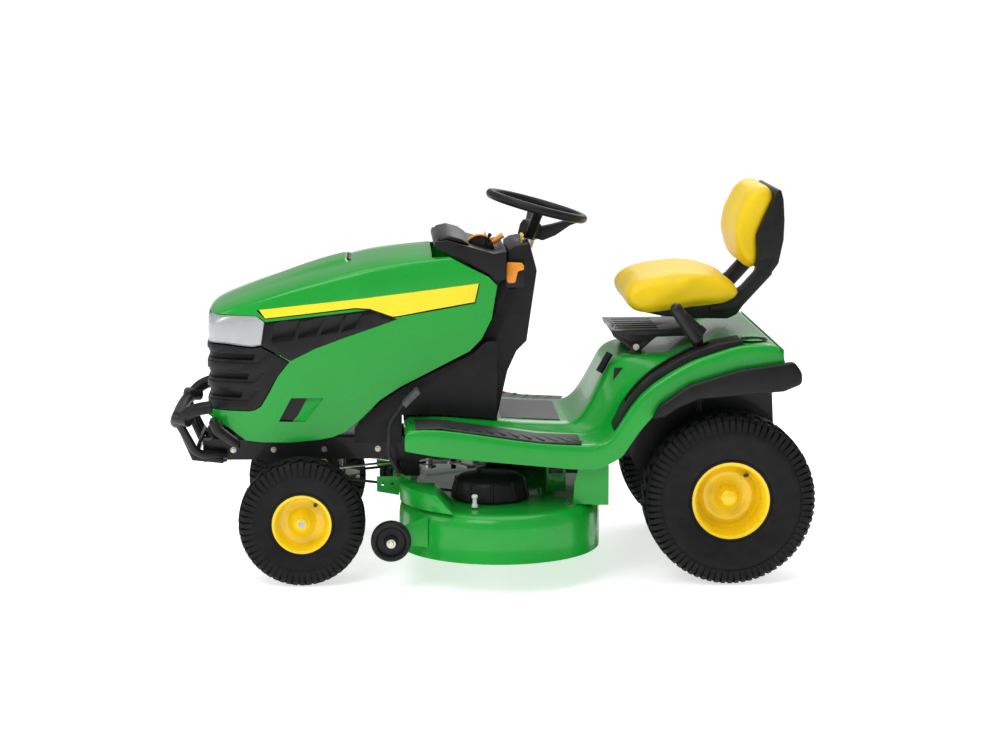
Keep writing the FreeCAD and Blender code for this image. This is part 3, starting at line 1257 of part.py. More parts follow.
def check_objects():
    for obj in doc.Objects:
        if "Invalid" in obj.State or "Error" in obj.State:
            raise RuntimeError(f"{obj.Name} ({obj.Label}) failed to build: {obj.State}")
    for label, obj in NODES:
        if obj.Shape.isNull() or not obj.Shape.isValid() or not obj.Shape.Solids:
            raise RuntimeError(f"{label} has no valid solid")


def place_in_row_frame():
    """Moves every sub-part so that the footprint's middle is the origin."""
    whole = FreeCAD.BoundBox()
    for label, obj in NODES:
        whole.add(obj.Shape.BoundBox)
    shift = Vector(-round((whole.XMin + whole.XMax) / 2), -round((whole.YMin + whole.YMax) / 2), 0)
    print("shift", tuple(shift), "bounds", whole, "nodes", len(NODES))
    for label, obj in NODES:
        obj.Placement = Placement(shift, Rotation()).multiply(obj.Placement)
    doc.recompute()


def write_steps():
    os.makedirs("parts", exist_ok=True)
    for label, obj in NODES:
        obj.Shape.exportStep(os.path.join("parts", f"{label}.step"))


build()
doc.recompute()
check_objects()
place_in_row_frame()
check_objects()
write_steps()
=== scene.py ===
"""Looks of a riding lawn mower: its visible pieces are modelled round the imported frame, in metres."""
import json
import math
import bmesh
import bpy
from bpy.props import FloatProperty, FloatVectorProperty, IntProperty, PointerProperty
from mathutils import Matrix, Vector


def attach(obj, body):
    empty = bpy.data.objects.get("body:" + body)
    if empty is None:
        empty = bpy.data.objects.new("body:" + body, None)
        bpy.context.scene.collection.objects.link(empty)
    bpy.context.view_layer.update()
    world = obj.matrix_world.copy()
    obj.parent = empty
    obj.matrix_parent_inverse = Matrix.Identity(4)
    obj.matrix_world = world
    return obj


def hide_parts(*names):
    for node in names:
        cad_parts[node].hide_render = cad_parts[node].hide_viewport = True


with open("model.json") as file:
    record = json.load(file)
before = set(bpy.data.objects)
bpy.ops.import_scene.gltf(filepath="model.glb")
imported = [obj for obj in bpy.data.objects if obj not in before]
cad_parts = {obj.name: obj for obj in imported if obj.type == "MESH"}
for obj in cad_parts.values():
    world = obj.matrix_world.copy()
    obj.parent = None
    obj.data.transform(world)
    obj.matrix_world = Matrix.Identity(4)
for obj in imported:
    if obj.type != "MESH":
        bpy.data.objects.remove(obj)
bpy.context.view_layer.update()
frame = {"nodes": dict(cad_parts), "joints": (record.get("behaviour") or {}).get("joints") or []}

bl_info = {
    "name": "Riding mower looks",
    "version": (1, 0, 0),
    "blender": (4, 5, 0),
    "location": "View3D > Sidebar > Mower",
    "description": "Builds the visible pieces and finishes of a riding lawn mower",
    "category": "Object",
}

JOINTS = {joint["name"]: joint for joint in frame["joints"]}
REAR_X = JOINTS["rear_wheel_left_roll"]["pos_m"][0]
MID_Y = (JOINTS["rear_wheel_left_roll"]["pos_m"][1] + JOINTS["rear_wheel_right_roll"]["pos_m"][1]) / 2
LEFT, RIGHT = 1, -1
BEYOND = 300  # mm from the middle plane, past both sides of the hood


def at(x, y, z):
    """A point given in millimetres from under the rear axle's middle, as a point of the row frame."""
    return Vector((x / 1000 + REAR_X, y / 1000 + MID_Y, z / 1000))


# ------------------------------------------------------------------ sizes and colours

def colour(name, words, value):
    return FloatVectorProperty(name=name, description=words, subtype="COLOR", size=4, min=0, max=1, default=value)


def length(name, words, value):
    return FloatProperty(name=name, description=words, default=value, unit="LENGTH", precision=4)


class MowerColours(bpy.types.PropertyGroup):
    body_green: colour("Body green", "Gloss paint of the hood, fenders and deck", (0.004, 0.33, 0.028, 1))
    rim_yellow: colour("Rim yellow", "Gloss paint of the rims", (0.93, 0.66, 0.004, 1))
    seat_yellow: colour("Seat yellow", "Vinyl of the cushions", (0.83, 0.57, 0.0, 1))
    stripe_yellow: colour("Stripe yellow", "Side stripes of the hood", (0.95, 0.75, 0.0, 1))
    plastic_black: colour("Moulding black", "Textured mouldings", (0.0085, 0.0085, 0.009, 1))
    gloss_black: colour("Gloss black", "Polished mouldings and panels", (0.004, 0.004, 0.0045, 1))
    frame_black: colour("Frame black", "Paint of the frame and brackets", (0.012, 0.012, 0.013, 1))
    tyre_black: colour("Tyre rubber", "Rubber of the tyres", (0.0085, 0.0085, 0.009, 1))
    lever_orange: colour("Lever orange", "Throttle and parking brake levers", (0.95, 0.32, 0.008, 1))
    floor_white: colour("Floor", "Pale floor of the stage", (0.9, 0.9, 0.9, 1))


class MowerSizes(bpy.types.PropertyGroup):
    hood_skin: length("Hood thickness", "Wall of the hood moulding", 0.004)
    lug_depth: length("Lug depth", "Depth of the tyre tread", 0.007)
    front_pitches: IntProperty(name="Front tread pitches", description="Tread blocks round a front tyre", default=28)
    rear_pitches: IntProperty(name="Rear tread pitches", description="Tread blocks round a rear tyre", default=38)
    cushion_voxel: length("Cushion voxel", "Mesh size of the cushions before inflation", 0.007)
    camera_lens: FloatProperty(name="Lens", description="Focal length of the stage camera in mm", default=90.38)


def colours():
    return bpy.context.scene.mower_colours


def sizes():
    return bpy.context.scene.mower_sizes


# ------------------------------------------------------------------ modelling by hand, in steps

def clear():
    if bpy.context.object is not None and bpy.context.object.mode != "OBJECT":
        bpy.ops.object.mode_set(mode="OBJECT")
    bpy.ops.object.select_all(action="DESELECT")


def pick(made):
    """Makes a piece the active one, with nothing else chosen."""
    clear()
    bpy.context.view_layer.objects.active = made
    made.select_set(True)
    return made


def edit():
    bpy.ops.object.mode_set(mode="EDIT")


def done():
    bpy.ops.object.mode_set(mode="OBJECT")
    return bpy.context.object


def trace(name, points):
    """Draws a chain of edges through the points, each extruded from the last, and stays in edit mode."""
    clear()
    bpy.ops.mesh.primitive_plane_add(size=0.01)
    made = bpy.context.object
    made.name = name
    edit()
    bpy.ops.mesh.merge(type="CENTER")
    last = Vector(points[0])
    bpy.ops.transform.translate(value=last)
    for point in points[1:]:
        step = Vector(point) - last
        bpy.ops.mesh.extrude_region_move(TRANSFORM_OT_translate={"value": step})
        last = Vector(point)
    bpy.ops.mesh.select_all(action="SELECT")
    return made


def drawn_out(name, rings, filled=False):
    """Extrudes one ring of points after another, setting each new ring in its place. Stays in edit mode."""
    made = trace(name, rings[0])
    if filled:
        bpy.ops.mesh.edge_face_add()
    for before, ring in zip(rings, rings[1:]):
        step = ring[0] - before[0]
        bpy.ops.mesh.extrude_region_move(TRANSFORM_OT_translate={"value": step})
        mesh = bmesh.from_edit_mesh(made.data)
        chosen = [vertex for vertex in mesh.verts if vertex.select]
        for vertex in chosen:
            start = vertex.co - step
            nearest = min(range(len(before)), key=lambda i: (before[i] - start).length_squared)
            vertex.co = ring[nearest]
        bmesh.update_edit_mesh(made.data)
    return made


def weld(reach=0.00002):
    bpy.ops.mesh.select_all(action="SELECT")
    bpy.ops.mesh.remove_doubles(threshold=reach)


def outward():
    bpy.ops.mesh.select_all(action="SELECT")
    bpy.ops.mesh.normals_make_consistent(inside=False)


def prism(name, points, along):
    """A closed outline filled and extruded along a vector."""
    made = trace(name, points)
    bpy.ops.mesh.edge_face_add()
    bpy.ops.mesh.extrude_region_move(TRANSFORM_OT_translate={"value": along})
    outward()
    done()
    return made


def side_prism(name, outline, low, high):
    """A prism from a side view outline (x, z), between two distances from the middle plane, in mm."""
    return prism(name, [at(x, low, z) for x, z in outline], (0, (high - low) / 1000, 0))


def spun(name, points, centre, axis, steps):
    made = trace(name, points)
    bpy.ops.mesh.spin(steps=steps, angle=2 * math.pi, center=centre, axis=axis)
    weld()
    outward()
    done()
    return made


def lathe(name, profile, centre, side, steps=64, closed=True):
    """Spins a profile of (radius, distance outward) in mm about a wheel's axis."""
    if closed:
        profile = list(profile) + [profile[0]]
    points = [centre + Vector((0, side * out / 1000, radius / 1000)) for radius, out in profile]
    return spun(name, points, centre, (0, 1, 0), steps)


def lathe_up(name, profile, centre, steps=48):
    """Spins a profile of (radius, height) in mm about an upright axis."""
    points = [centre + Vector((radius / 1000, 0, up / 1000)) for radius, up in profile]
    return spun(name, points, centre, (0, 0, 1), steps)


def modify(made, kind, **settings):
    """Adds one modifier and applies it."""
    pick(made)
    modifier = made.modifiers.new(kind.lower(), kind)
    for key, value in settings.items():
        setattr(modifier, key, value)
    bpy.ops.object.modifier_apply(modifier=modifier.name)
    return made


def rounded(made, width=0.003, segments=2, angle=32):
    modify(made, "BEVEL", width=width, segments=segments, limit_method="ANGLE", angle_limit=math.radians(angle),
           use_clamp_overlap=True, miter_outer="MITER_ARC")
    return smooth(made)


def smooth(made, angle=38):
    pick(made)
    bpy.ops.object.shade_smooth_by_angle(angle=math.radians(angle))
    return made


def softened(made, levels=1):
    """Smooths the form itself by subdividing it."""
    return modify(made, "SUBSURF", levels=levels, render_levels=levels)


def remove(made):
    bpy.data.objects.remove(made, do_unlink=True)


def combine(made, other, operation="DIFFERENCE"):
    """Cuts one piece with another, which is used up."""
    modify(made, "BOOLEAN", operation=operation, object=other, solver="EXACT")
    if not made.data.polygons:
        raise RuntimeError(f"nothing is left of {made.name} after {other.name}")
    remove(other)
    return made


def kept_in(made, outline, low=-BEYOND, high=BEYOND):
    """Keeps what is inside a side view outline, between two distances from the middle plane."""
    return combine(made, side_prism("kept", outline, low, high), "INTERSECT")


def cut_by(made, outline, low=-BEYOND, high=BEYOND):
    """Cuts a side view outline out, between two distances from the middle plane."""
    return combine(made, side_prism("cut", outline, low, high))


def span(side, near, far):
    """The same stretch of width on the left or the right, its low end first."""
    return sorted((side * near, side * far))


def join(pieces, name):
    clear()
    for piece in pieces:
        piece.select_set(True)
    bpy.context.view_layer.objects.active = pieces[0]
    if len(pieces) > 1:
        bpy.ops.object.join()
    made = bpy.context.object
    made.name = name
    return made


def copy_of(made, name):
    pick(made)
    bpy.ops.object.duplicate()
    other = bpy.context.object
    other.name = name
    return other


def mirrored(made, name):
    """The same piece on the other side of the machine, facing outwards."""
    other = copy_of(made, name)
    edit()
    bpy.ops.mesh.select_all(action="SELECT")
    bpy.ops.transform.mirror(constraint_axis=(False, True, False), center_override=(0, MID_Y, 0))
    bpy.ops.mesh.flip_normals()
    done()
    return other


def settle(made):
    """Puts a piece's place into its mesh."""
    pick(made)
    bpy.ops.object.transform_apply(location=True, rotation=True, scale=True)
    return made


def box(size, location=(0, 0, 0), rotation=(0, 0, 0)):
    """A block of the given size in metres."""
    clear()
    bpy.ops.mesh.primitive_cube_add(size=1, location=location, rotation=rotation)
    bpy.context.object.scale = size
    return settle(bpy.context.object)


def tube(name, points, radius, bend=0.02, segments=5, resolution=3):
    """A round bar through the points, with rounded bends and closed ends."""
    made = trace(name, points)
    if len(points) > 2:
        bpy.ops.mesh.select_all(action="SELECT")
        done()
        vertices = bpy.context.object.data.vertices
        ends = {0, len(vertices) - 1}
        for i, vertex in enumerate(vertices):
            vertex.select = i not in ends
        edit()
        bpy.ops.mesh.select_mode(type="VERT")
        bpy.ops.mesh.bevel(offset=bend, segments=segments, affect="VERTICES", profile=0.5)
    done()
    bpy.ops.object.convert(target="CURVE")
    made = bpy.context.object
    made.data.bevel_depth = radius
    made.data.bevel_resolution = resolution
    made.data.use_fill_caps = True
    bpy.ops.object.convert(target="MESH")
    made = bpy.context.object
    made.name = name
    edit()
    outward()
    done()
    return smooth(made)


def bolt(name, centre, radius, height, side):
    """A hexagon head standing on its washer, facing out to one side."""
    turn = (math.radians(-90 * side), 0, 0)
    clear()
    bpy.ops.mesh.primitive_cylinder_add(vertices=20, radius=radius * 1.35, depth=height * 0.5, location=centre,
                                        rotation=turn)
    washer = settle(bpy.context.object)
    lift = Vector((0, side * height * 0.6, 0))
    clear()
    bpy.ops.mesh.primitive_cylinder_add(vertices=6, radius=radius, depth=height, location=centre + lift,
                                        rotation=turn)
    head = rounded(settle(bpy.context.object), radius * 0.12, 1)
    return join([washer, head], name)


def from_node(node, name, edge=0.003, segments=2, angle=32):
    """A softened copy of a CAD node that stands for it."""
    source = frame["nodes"][node]
    made = copy_of(source, name)
    made.data = made.data.copy()
    for key in list(made.keys()):
        del made[key]
    made.parent = None
    made.matrix_world = Matrix.Identity(4)
    made.data.materials.clear()
    edit()
    weld(0.00001)
    bpy.ops.mesh.dissolve_limited(angle_limit=math.radians(1.0))
    done()
    if edge:
        rounded(made, edge, segments, angle)
    else:
        smooth(made)
    return made


def place(made, finish, body, slot, *nodes):
    """Gives a piece its finish, the body it rides on and the nodes it stands for. The slot argument is not used."""
    made.data.materials.clear()
    made.data.materials.append(finish)
    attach(made, body)
    if nodes:
        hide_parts(*nodes)
    return made


def carry(finish, *nodes):
    """Gives CAD nodes that are shown as they are a better finish."""
    for node in nodes:
        made = frame["nodes"][node]
        made.data.materials.clear()
        made.data.materials.append(finish)


# ------------------------------------------------------------------ finishes

FINISHES = {}


def finish(name, base, rough=0.4, metal=0.0, coat=0.0, mottle=(30, 0.12), grain=None, wear=None, sheen=0.0, spec=0.5):
    """A procedural finish. mottle is (scale, strength) of colour and gloss variation; grain is a list of
    (kind, scale, depth) reliefs; wear is (scale, colour, amount) for dust or scuffs."""
    if name in FINISHES:
        return FINISHES[name]
    made = bpy.data.materials.new(name)
    made.use_nodes = True
    nodes, links = made.node_tree.nodes, made.node_tree.links
    shader = nodes["Principled BSDF"]
    shader.inputs["Metallic"].default_value = metal
    shader.inputs["Coat Weight"].default_value = coat
    shader.inputs["Coat Roughness"].default_value = 0.06
    shader.inputs["Specular IOR Level"].default_value = spec
    shader.inputs["Sheen Weight"].default_value = sheen
    coordinates = nodes.new("ShaderNodeTexCoord")
    base = list(base)[:3]
    noise = nodes.new("ShaderNodeTexNoise")
    noise.inputs["Scale"].default_value = mottle[0]
    noise.inputs["Detail"].default_value = 6
    links.new(coordinates.outputs["Object"], noise.inputs["Vector"])
    ramp = nodes.new("ShaderNodeValToRGB")
    low = [max(c * (1 - mottle[1]), 0) for c in base]
    high = [min(c * (1 + mottle[1]) + 0.002, 1) for c in base]
    ramp.color_ramp.elements[0].position, ramp.color_ramp.elements[1].position = 0.3, 0.7
    ramp.color_ramp.elements[0].color = (*low, 1)
    ramp.color_ramp.elements[1].color = (*high, 1)
    links.new(noise.outputs["Fac"], ramp.inputs["Fac"])
    paint = ramp.outputs["Color"]
    if wear:
        dust = nodes.new("ShaderNodeTexNoise")
        dust.inputs["Scale"].default_value = wear[0]
        dust.inputs["Detail"].default_value = 10
        dust.inputs["Roughness"].default_value = 0.7
        links.new(coordinates.outputs["Object"], dust.inputs["Vector"])
        amount = nodes.new("ShaderNodeMapRange")
        amount.inputs["From Min"].default_value = 0.55
        amount.inputs["From Max"].default_value = 0.8
        amount.inputs["To Max"].default_value = wear[2]
        links.new(dust.outputs["Fac"], amount.inputs["Value"])
        mixed = nodes.new("ShaderNodeMix")
        mixed.data_type = "RGBA"
        mixed.inputs["B"].default_value = (*wear[1], 1)
        links.new(amount.outputs["Result"], mixed.inputs["Factor"])
        links.new(paint, mixed.inputs["A"])
        paint = mixed.outputs["Result"]
    links.new(paint, shader.inputs["Base Color"])
    gloss = nodes.new("ShaderNodeMapRange")
    gloss.inputs["To Min"].default_value = max(rough - 0.08, 0.03)
    gloss.inputs["To Max"].default_value = min(rough + 0.08, 1)
    links.new(noise.outputs["Fac"], gloss.inputs["Value"])
    links.new(gloss.outputs["Result"], shader.inputs["Roughness"])
    relief = None
    for kind, scale, depth in grain or [("noise", 900, 0.00002)]:
        if kind == "cells":
            texture = nodes.new("ShaderNodeTexVoronoi")
            texture.feature = "DISTANCE_TO_EDGE"
            height = texture.outputs["Distance"]
        elif kind == "brush":
            texture = nodes.new("ShaderNodeTexWave")
            texture.inputs["Distortion"].default_value = 6
            height = texture.outputs["Fac"]
        else:
            texture = nodes.new("ShaderNodeTexNoise")
            texture.inputs["Detail"].default_value = 3
            height = texture.outputs["Fac"]
        texture.inputs["Scale"].default_value = scale
        links.new(coordinates.outputs["Object"], texture.inputs["Vector"])
        bump = nodes.new("ShaderNodeBump")
        bump.inputs["Strength"].default_value = 0.6
        bump.inputs["Distance"].default_value = depth
        links.new(height, bump.inputs["Height"])
        if relief:
            links.new(relief, bump.inputs["Normal"])
        relief = bump.outputs["Normal"]
    links.new(relief, shader.inputs["Normal"])
    FINISHES[name] = made
    return made


def green_paint():
    return finish("green_gloss_paint", colours().body_green, 0.27, coat=0.3, spec=0.3, mottle=(5, 0.05),
                  grain=[("noise", 260, 0.00004)])


def deck_paint():
    return finish("green_deck_paint", colours().body_green, 0.3, coat=0.25, spec=0.3, mottle=(7, 0.08),
                  grain=[("noise", 160, 0.00008)], wear=(18, (0.01, 0.22, 0.03), 0.5))


def yellow_paint():
    return finish("yellow_rim_paint", colours().rim_yellow, 0.28, coat=0.4, mottle=(14, 0.05),
                  grain=[("noise", 300, 0.00005)])


def black_moulding():
    return finish("black_textured_moulding", colours().plastic_black, 0.42, mottle=(24, 0.2),
                  grain=[("noise", 1400, 0.00006), ("cells", 700, 0.00003)], wear=(40, (0.025, 0.025, 0.025), 0.15),
                  spec=0.22)


def gloss_moulding():
    return finish("black_gloss_moulding", colours().gloss_black, 0.2, coat=0.1, spec=0.2, mottle=(20, 0.15),
                  grain=[("noise", 300, 0.00001)])


def frame_paint():
    return finish("black_frame_paint", colours().frame_black, 0.38, coat=0.15, mottle=(20, 0.2),
                  grain=[("noise", 220, 0.00006)], wear=(60, (0.04, 0.037, 0.034), 0.2), spec=0.25)


def tyre_rubber():
    return finish("tyre_rubber", colours().tyre_black, 0.62, mottle=(25, 0.25), grain=[("noise", 500, 0.00008)],
                  wear=(30, (0.022, 0.021, 0.02), 0.2), spec=0.16)


def mat_rubber():
    return finish("foot_mat_rubber", (0.03, 0.03, 0.032), 0.55, mottle=(40, 0.2), grain=[("cells", 500, 0.0001)],
                  wear=(50, (0.09, 0.09, 0.09), 0.4))


def pad_rubber():
    return finish("pedal_pad_rubber", (0.075, 0.075, 0.08), 0.45, mottle=(40, 0.2), grain=[("cells", 500, 0.00006)],
                  spec=0.35)


def seat_vinyl():
    return finish("seat_vinyl", colours().seat_yellow, 0.45, mottle=(9, 0.06),
                  grain=[("cells", 420, 0.00012), ("noise", 900, 0.00005)], sheen=0.03, spec=0.32,
                  wear=(12, (0.7, 0.44, 0.0), 0.2))


def bare_steel():
    return finish("machined_steel", (0.42, 0.42, 0.43), 0.32, 1.0, mottle=(60, 0.2), grain=[("brush", 180, 0.00004)])


def zinc_steel():
    return finish("zinc_steel", (0.62, 0.6, 0.5), 0.35, 1.0, mottle=(80, 0.25), grain=[("noise", 700, 0.00005)])


def cast_metal():
    return finish("cast_metal", (0.34, 0.35, 0.36), 0.5, 0.9, mottle=(50, 0.2), grain=[("noise", 600, 0.0002)])


def belt_rubber():
    return finish("belt_rubber", (0.02, 0.02, 0.02), 0.7, mottle=(60, 0.3), grain=[("brush", 400, 0.0002)])


def orange_moulding():
    return finish("orange_moulding", colours().lever_orange, 0.32, mottle=(30, 0.06), coat=0.2,
                  grain=[("noise", 900, 0.00004)])


def stripe_vinyl():
    return finish("yellow_stripe_film", colours().stripe_yellow, 0.3, mottle=(12, 0.03), coat=0.4,
                  grain=[("noise", 400, 0.00001)])


def silver_reflector():
    return finish("silver_reflector", (0.5, 0.52, 0.54), 0.2, 1.0, mottle=(30, 0.08), grain=[("brush", 60, 0.0003)])


def label_film():
    return finish("blank_label_film", (0.02, 0.02, 0.021), 0.4, mottle=(60, 0.3), spec=0.25)


def lens_plastic():
    """Clear moulded lens over the headlights."""
    if "clear_lens" in FINISHES:
        return FINISHES["clear_lens"]
    made = finish("clear_lens", (0.93, 0.95, 0.96), 0.08, mottle=(20, 0.02), grain=[("noise", 120, 0.0001)])
    shader = made.node_tree.nodes["Principled BSDF"]
    shader.inputs["Alpha"].default_value = 0.16
    shader.inputs["Coat Weight"].default_value = 0.8
    made.surface_render_method = "BLENDED"
    return made


# ------------------------------------------------------------------ hood

# Stations along the hood in mm: x, half width, shoulder height, crown height, lift of the middle bulge
STATIONS = [
    (640, 224, 951, 961, 0), (700, 232, 948, 959, 0), (780, 242, 942, 955, 0), (860, 250, 935, 951, 0),
    (950, 257, 925, 945, 0), (1040, 261, 911, 935, 0), (1090, 262, 899, 922, 0), (1104, 262, 896, 917, 0),
    (1110, 262, 894, 915, 13), (1125, 262, 891, 912, 13), (1180, 263, 877, 900, 11), (1250, 262, 858, 881, 7),
    (1320, 258, 837, 859, 3), (1390, 249, 814, 836, 1), (1440, 237, 797, 817, 0), (1480, 218, 782, 801, 0),
    (1505, 196, 770, 787, 0), (1519, 168, 756, 773, 0),
]


def half_section(half, shoulder, crown, bulge):
    """Corners of half the hood's section, from its lower edge to its middle: (y, z)."""
    return [(half - 10, 378), (half - 3, 440), (half, 520), (half + 3, 620), (half + 3, shoulder - 120),
            (half - 1, shoulder - 45), (half - 5, shoulder - 13), (half - 9, shoulder - 3), (half - 18, shoulder + 2),
            (half * 0.72, (shoulder + crown) / 2 + 4), (118, crown - 4), (96, crown - 2 + bulge),
            (48, crown + bulge), (0, crown + 1 + bulge)]


def hood_sheet(name, shrink=0.0):
    """The hood's outer surface as one smooth open sheet, drawn in by shrink mm."""
    rings = []
    for x, half, shoulder, crown, bulge in STATIONS:
        side = half_section(half - shrink, shoulder - shrink, crown - shrink, bulge)
        ring = [at(x, y, z) for y, z in side] + [at(x, -y, z) for y, z in side[-2::-1]]
        rings.append(ring)
    last = rings[-1]
    middle = at(STATIONS[-1][0], 0, 590)
    for share, forward in ((0.93, 2.0), (0.6, 3.0)):
        ring = []
        for point in last:
            moved = middle + (point - middle) * share
            moved.x = last[0].x + (forward - shrink) / 1000
            ring.append(moved)
        rings.append(ring)
    made = drawn_out(name, rings)
    bpy.ops.mesh.edge_face_add()
    outward()
    done()
    return made


def hood_shell_from(sheet, name, thickness, out=0.0):
    """A wall of that thickness in metres inside the sheet, or standing out from it by out."""
    made = copy_of(sheet, name)
    modify(made, "SOLIDIFY", thickness=thickness + out, offset=-1 + 2 * out / (thickness + out))
    return made


def inner_wall(name, shrink, thickness, outline, *between):
    """A thin wall inside the hood, seen through its openings."""
    made = softened(hood_sheet(name, shrink))
    modify(made, "SOLIDIFY", thickness=thickness, offset=-1)
    return smooth(kept_in(made, outline, *between))


SIDE_OUTLINE = [(864, 1010), (858, 968), (749, 911), (692, 882), (668, 856), (684, 759), (714, 700), (749, 665),
                (866, 607), (954, 563), (1013, 525), (1072, 466), (1116, 431), (1150, 416), (1189, 408), (1277, 400),
                (1360, 400), (1408, 405), (1446, 434), (1495, 466), (1560, 474), (1560, 1010)]
VENT_OUTLINE = [(1347, 757), (1243, 769), (1083, 787), (1040, 792), (1020, 790), (960, 763), (1113, 711),
                (1200, 679), (1272, 643), (1356, 686)]
LIGHT_OUTLINE = [(1560, 775), (1447, 775), (1369, 774), (1346, 756), (1356, 688), (1385, 683), (1463, 690),
                 (1560, 690)]
GRILLE_OUTLINE = [(1560, 686), (1463, 686), (1385, 679), (1357, 684), (1277, 640), (1292, 622), (1312, 597),
                  (1338, 548), (1361, 508), (1378, 496), (1396, 493), (1560, 493)]
STRIPE_OUTLINE = [(1362, 792), (1243, 806), (1080, 823), (722, 864), (734, 810), (860, 790), (964, 772), (975, 772),
                  (1040, 795), (1083, 798), (1345, 768)]
SCOOP_OUTLINE = [(1309, 463), (1272, 533), (1230, 532), (1268, 462)]
SCOOP_GAP = [(1309, 463), (1272, 533), (1176, 533), (1232, 461)]


def middle_of(outline):
    return sum(x for x, z in outline) / len(outline), sum(z for x, z in outline) / len(outline)


def grown(outline, margin):
    """An outline pushed out from its middle, or in for a negative margin."""
    cx, cz = middle_of(outline)
    out = []
    for x, z in outline:
        away = math.hypot(x - cx, z - cz)
        out.append((x + (x - cx) / away * margin, z + (z - cz) / away * margin))
    return out


class MOWER_OT_hood(bpy.types.Operator):
    """Builds the hood's skin, side stripes, vents, intake and lower scoops"""
    bl_idname = "mower.hood"
    bl_label = "Hood"

    def execute(self, context):
        sheet = hood_sheet("hood_sheet")
        softened(sheet, 2)
        shell = hood_shell_from(sheet, "hood_skin", sizes().hood_skin)
        kept_in(shell, SIDE_OUTLINE)
        face = [(1560, 776), (1447, 776), (1369, 775), (1344, 757), (1354, 688), (1275, 641), (1290, 622),
                (1310, 597), (1336, 548), (1359, 508), (1377, 496), (1394, 492), (1560, 492)]
        for outline in (VENT_OUTLINE, face, SCOOP_GAP):
            cut_by(shell, outline)
        cut_by(shell, [(600, 850), (858, 850), (858, 1010), (600, 1010)], -221, 221)
        smooth(shell, 30)
        place(shell, green_paint(), "hood", "green_plastic", "hood_shell")

        band = hood_shell_from(sheet, "stripe_left", 0.0004, 0.0007)
        kept_in(band, STRIPE_OUTLINE, 100, 300)
        rim = hood_shell_from(sheet, "stripe_border_left", 0.0004, 0.0004)
        border = [(1370, 790), (1345, 765), (1083, 794), (1040, 791), (975, 767), (860, 785), (731, 806), (719, 862),
                  (722, 864), (736, 812), (975, 773), (1040, 796), (1083, 799), (1345, 769), (1362, 792)]
        kept_in(rim, border, 100, 300)
        for piece, other, made_of in ((band, "stripe_right", stripe_vinyl()),
                                      (rim, "stripe_border_right", gloss_moulding())):
            smooth(piece)
            twin = mirrored(piece, other)
            place(piece, made_of, "hood", "green_plastic")
            place(twin, made_of, "hood", "green_plastic")

        # vents: a gloss panel with slanted pockets behind raised ribs
        panel = hood_shell_from(sheet, "side_vent_panels", 0.016)
        kept_in(panel, grown(VENT_OUTLINE, -1.5))
        pockets = [[(1318, 748), (1248, 756), (1262, 712), (1326, 706)],
                   [(1238, 757), (1178, 764), (1196, 722), (1250, 712)],
                   [(1168, 765), (1118, 771), (1136, 728), (1184, 722)],
                   [(1108, 772), (1066, 776), (1086, 738), (1124, 728)]]
        for side in (LEFT, RIGHT):
            for pocket in pockets:
                cut_by(panel, pocket, *span(side, 251, 290))
        rounded(panel, 0.0012, 2, 40)
        place(panel, gloss_moulding(), "hood", "gloss_black", "side_vents")

        inner = inner_wall("scoop_backs", 12.0, 0.004, grown(SCOOP_OUTLINE, 10))
        place(inner, gloss_moulding(), "hood", "green_plastic")
        ramps = []
        for side in (LEFT, RIGHT):
            ramp = prism("ramp", [at(1232, side * 247, 536), at(1172, side * 258.5, 536), at(1228, side * 257.5, 458),
                                  at(1271, side * 246, 458)], (0, -side * 0.003, 0))
            ramps.append(ramp)
        place(join(ramps, "scoop_ramps"), green_paint(), "hood", "green_plastic")

        intake = side_prism("hood_intake", [(1094, 902), (1108, 900), (1112, 922), (1102, 924), (1094, 920)], -84, 84)
        rounded(intake, 0.003, 2)
        place(intake, black_moulding(), "hood", "green_plastic")
        remove(sheet)
        return {"FINISHED"}


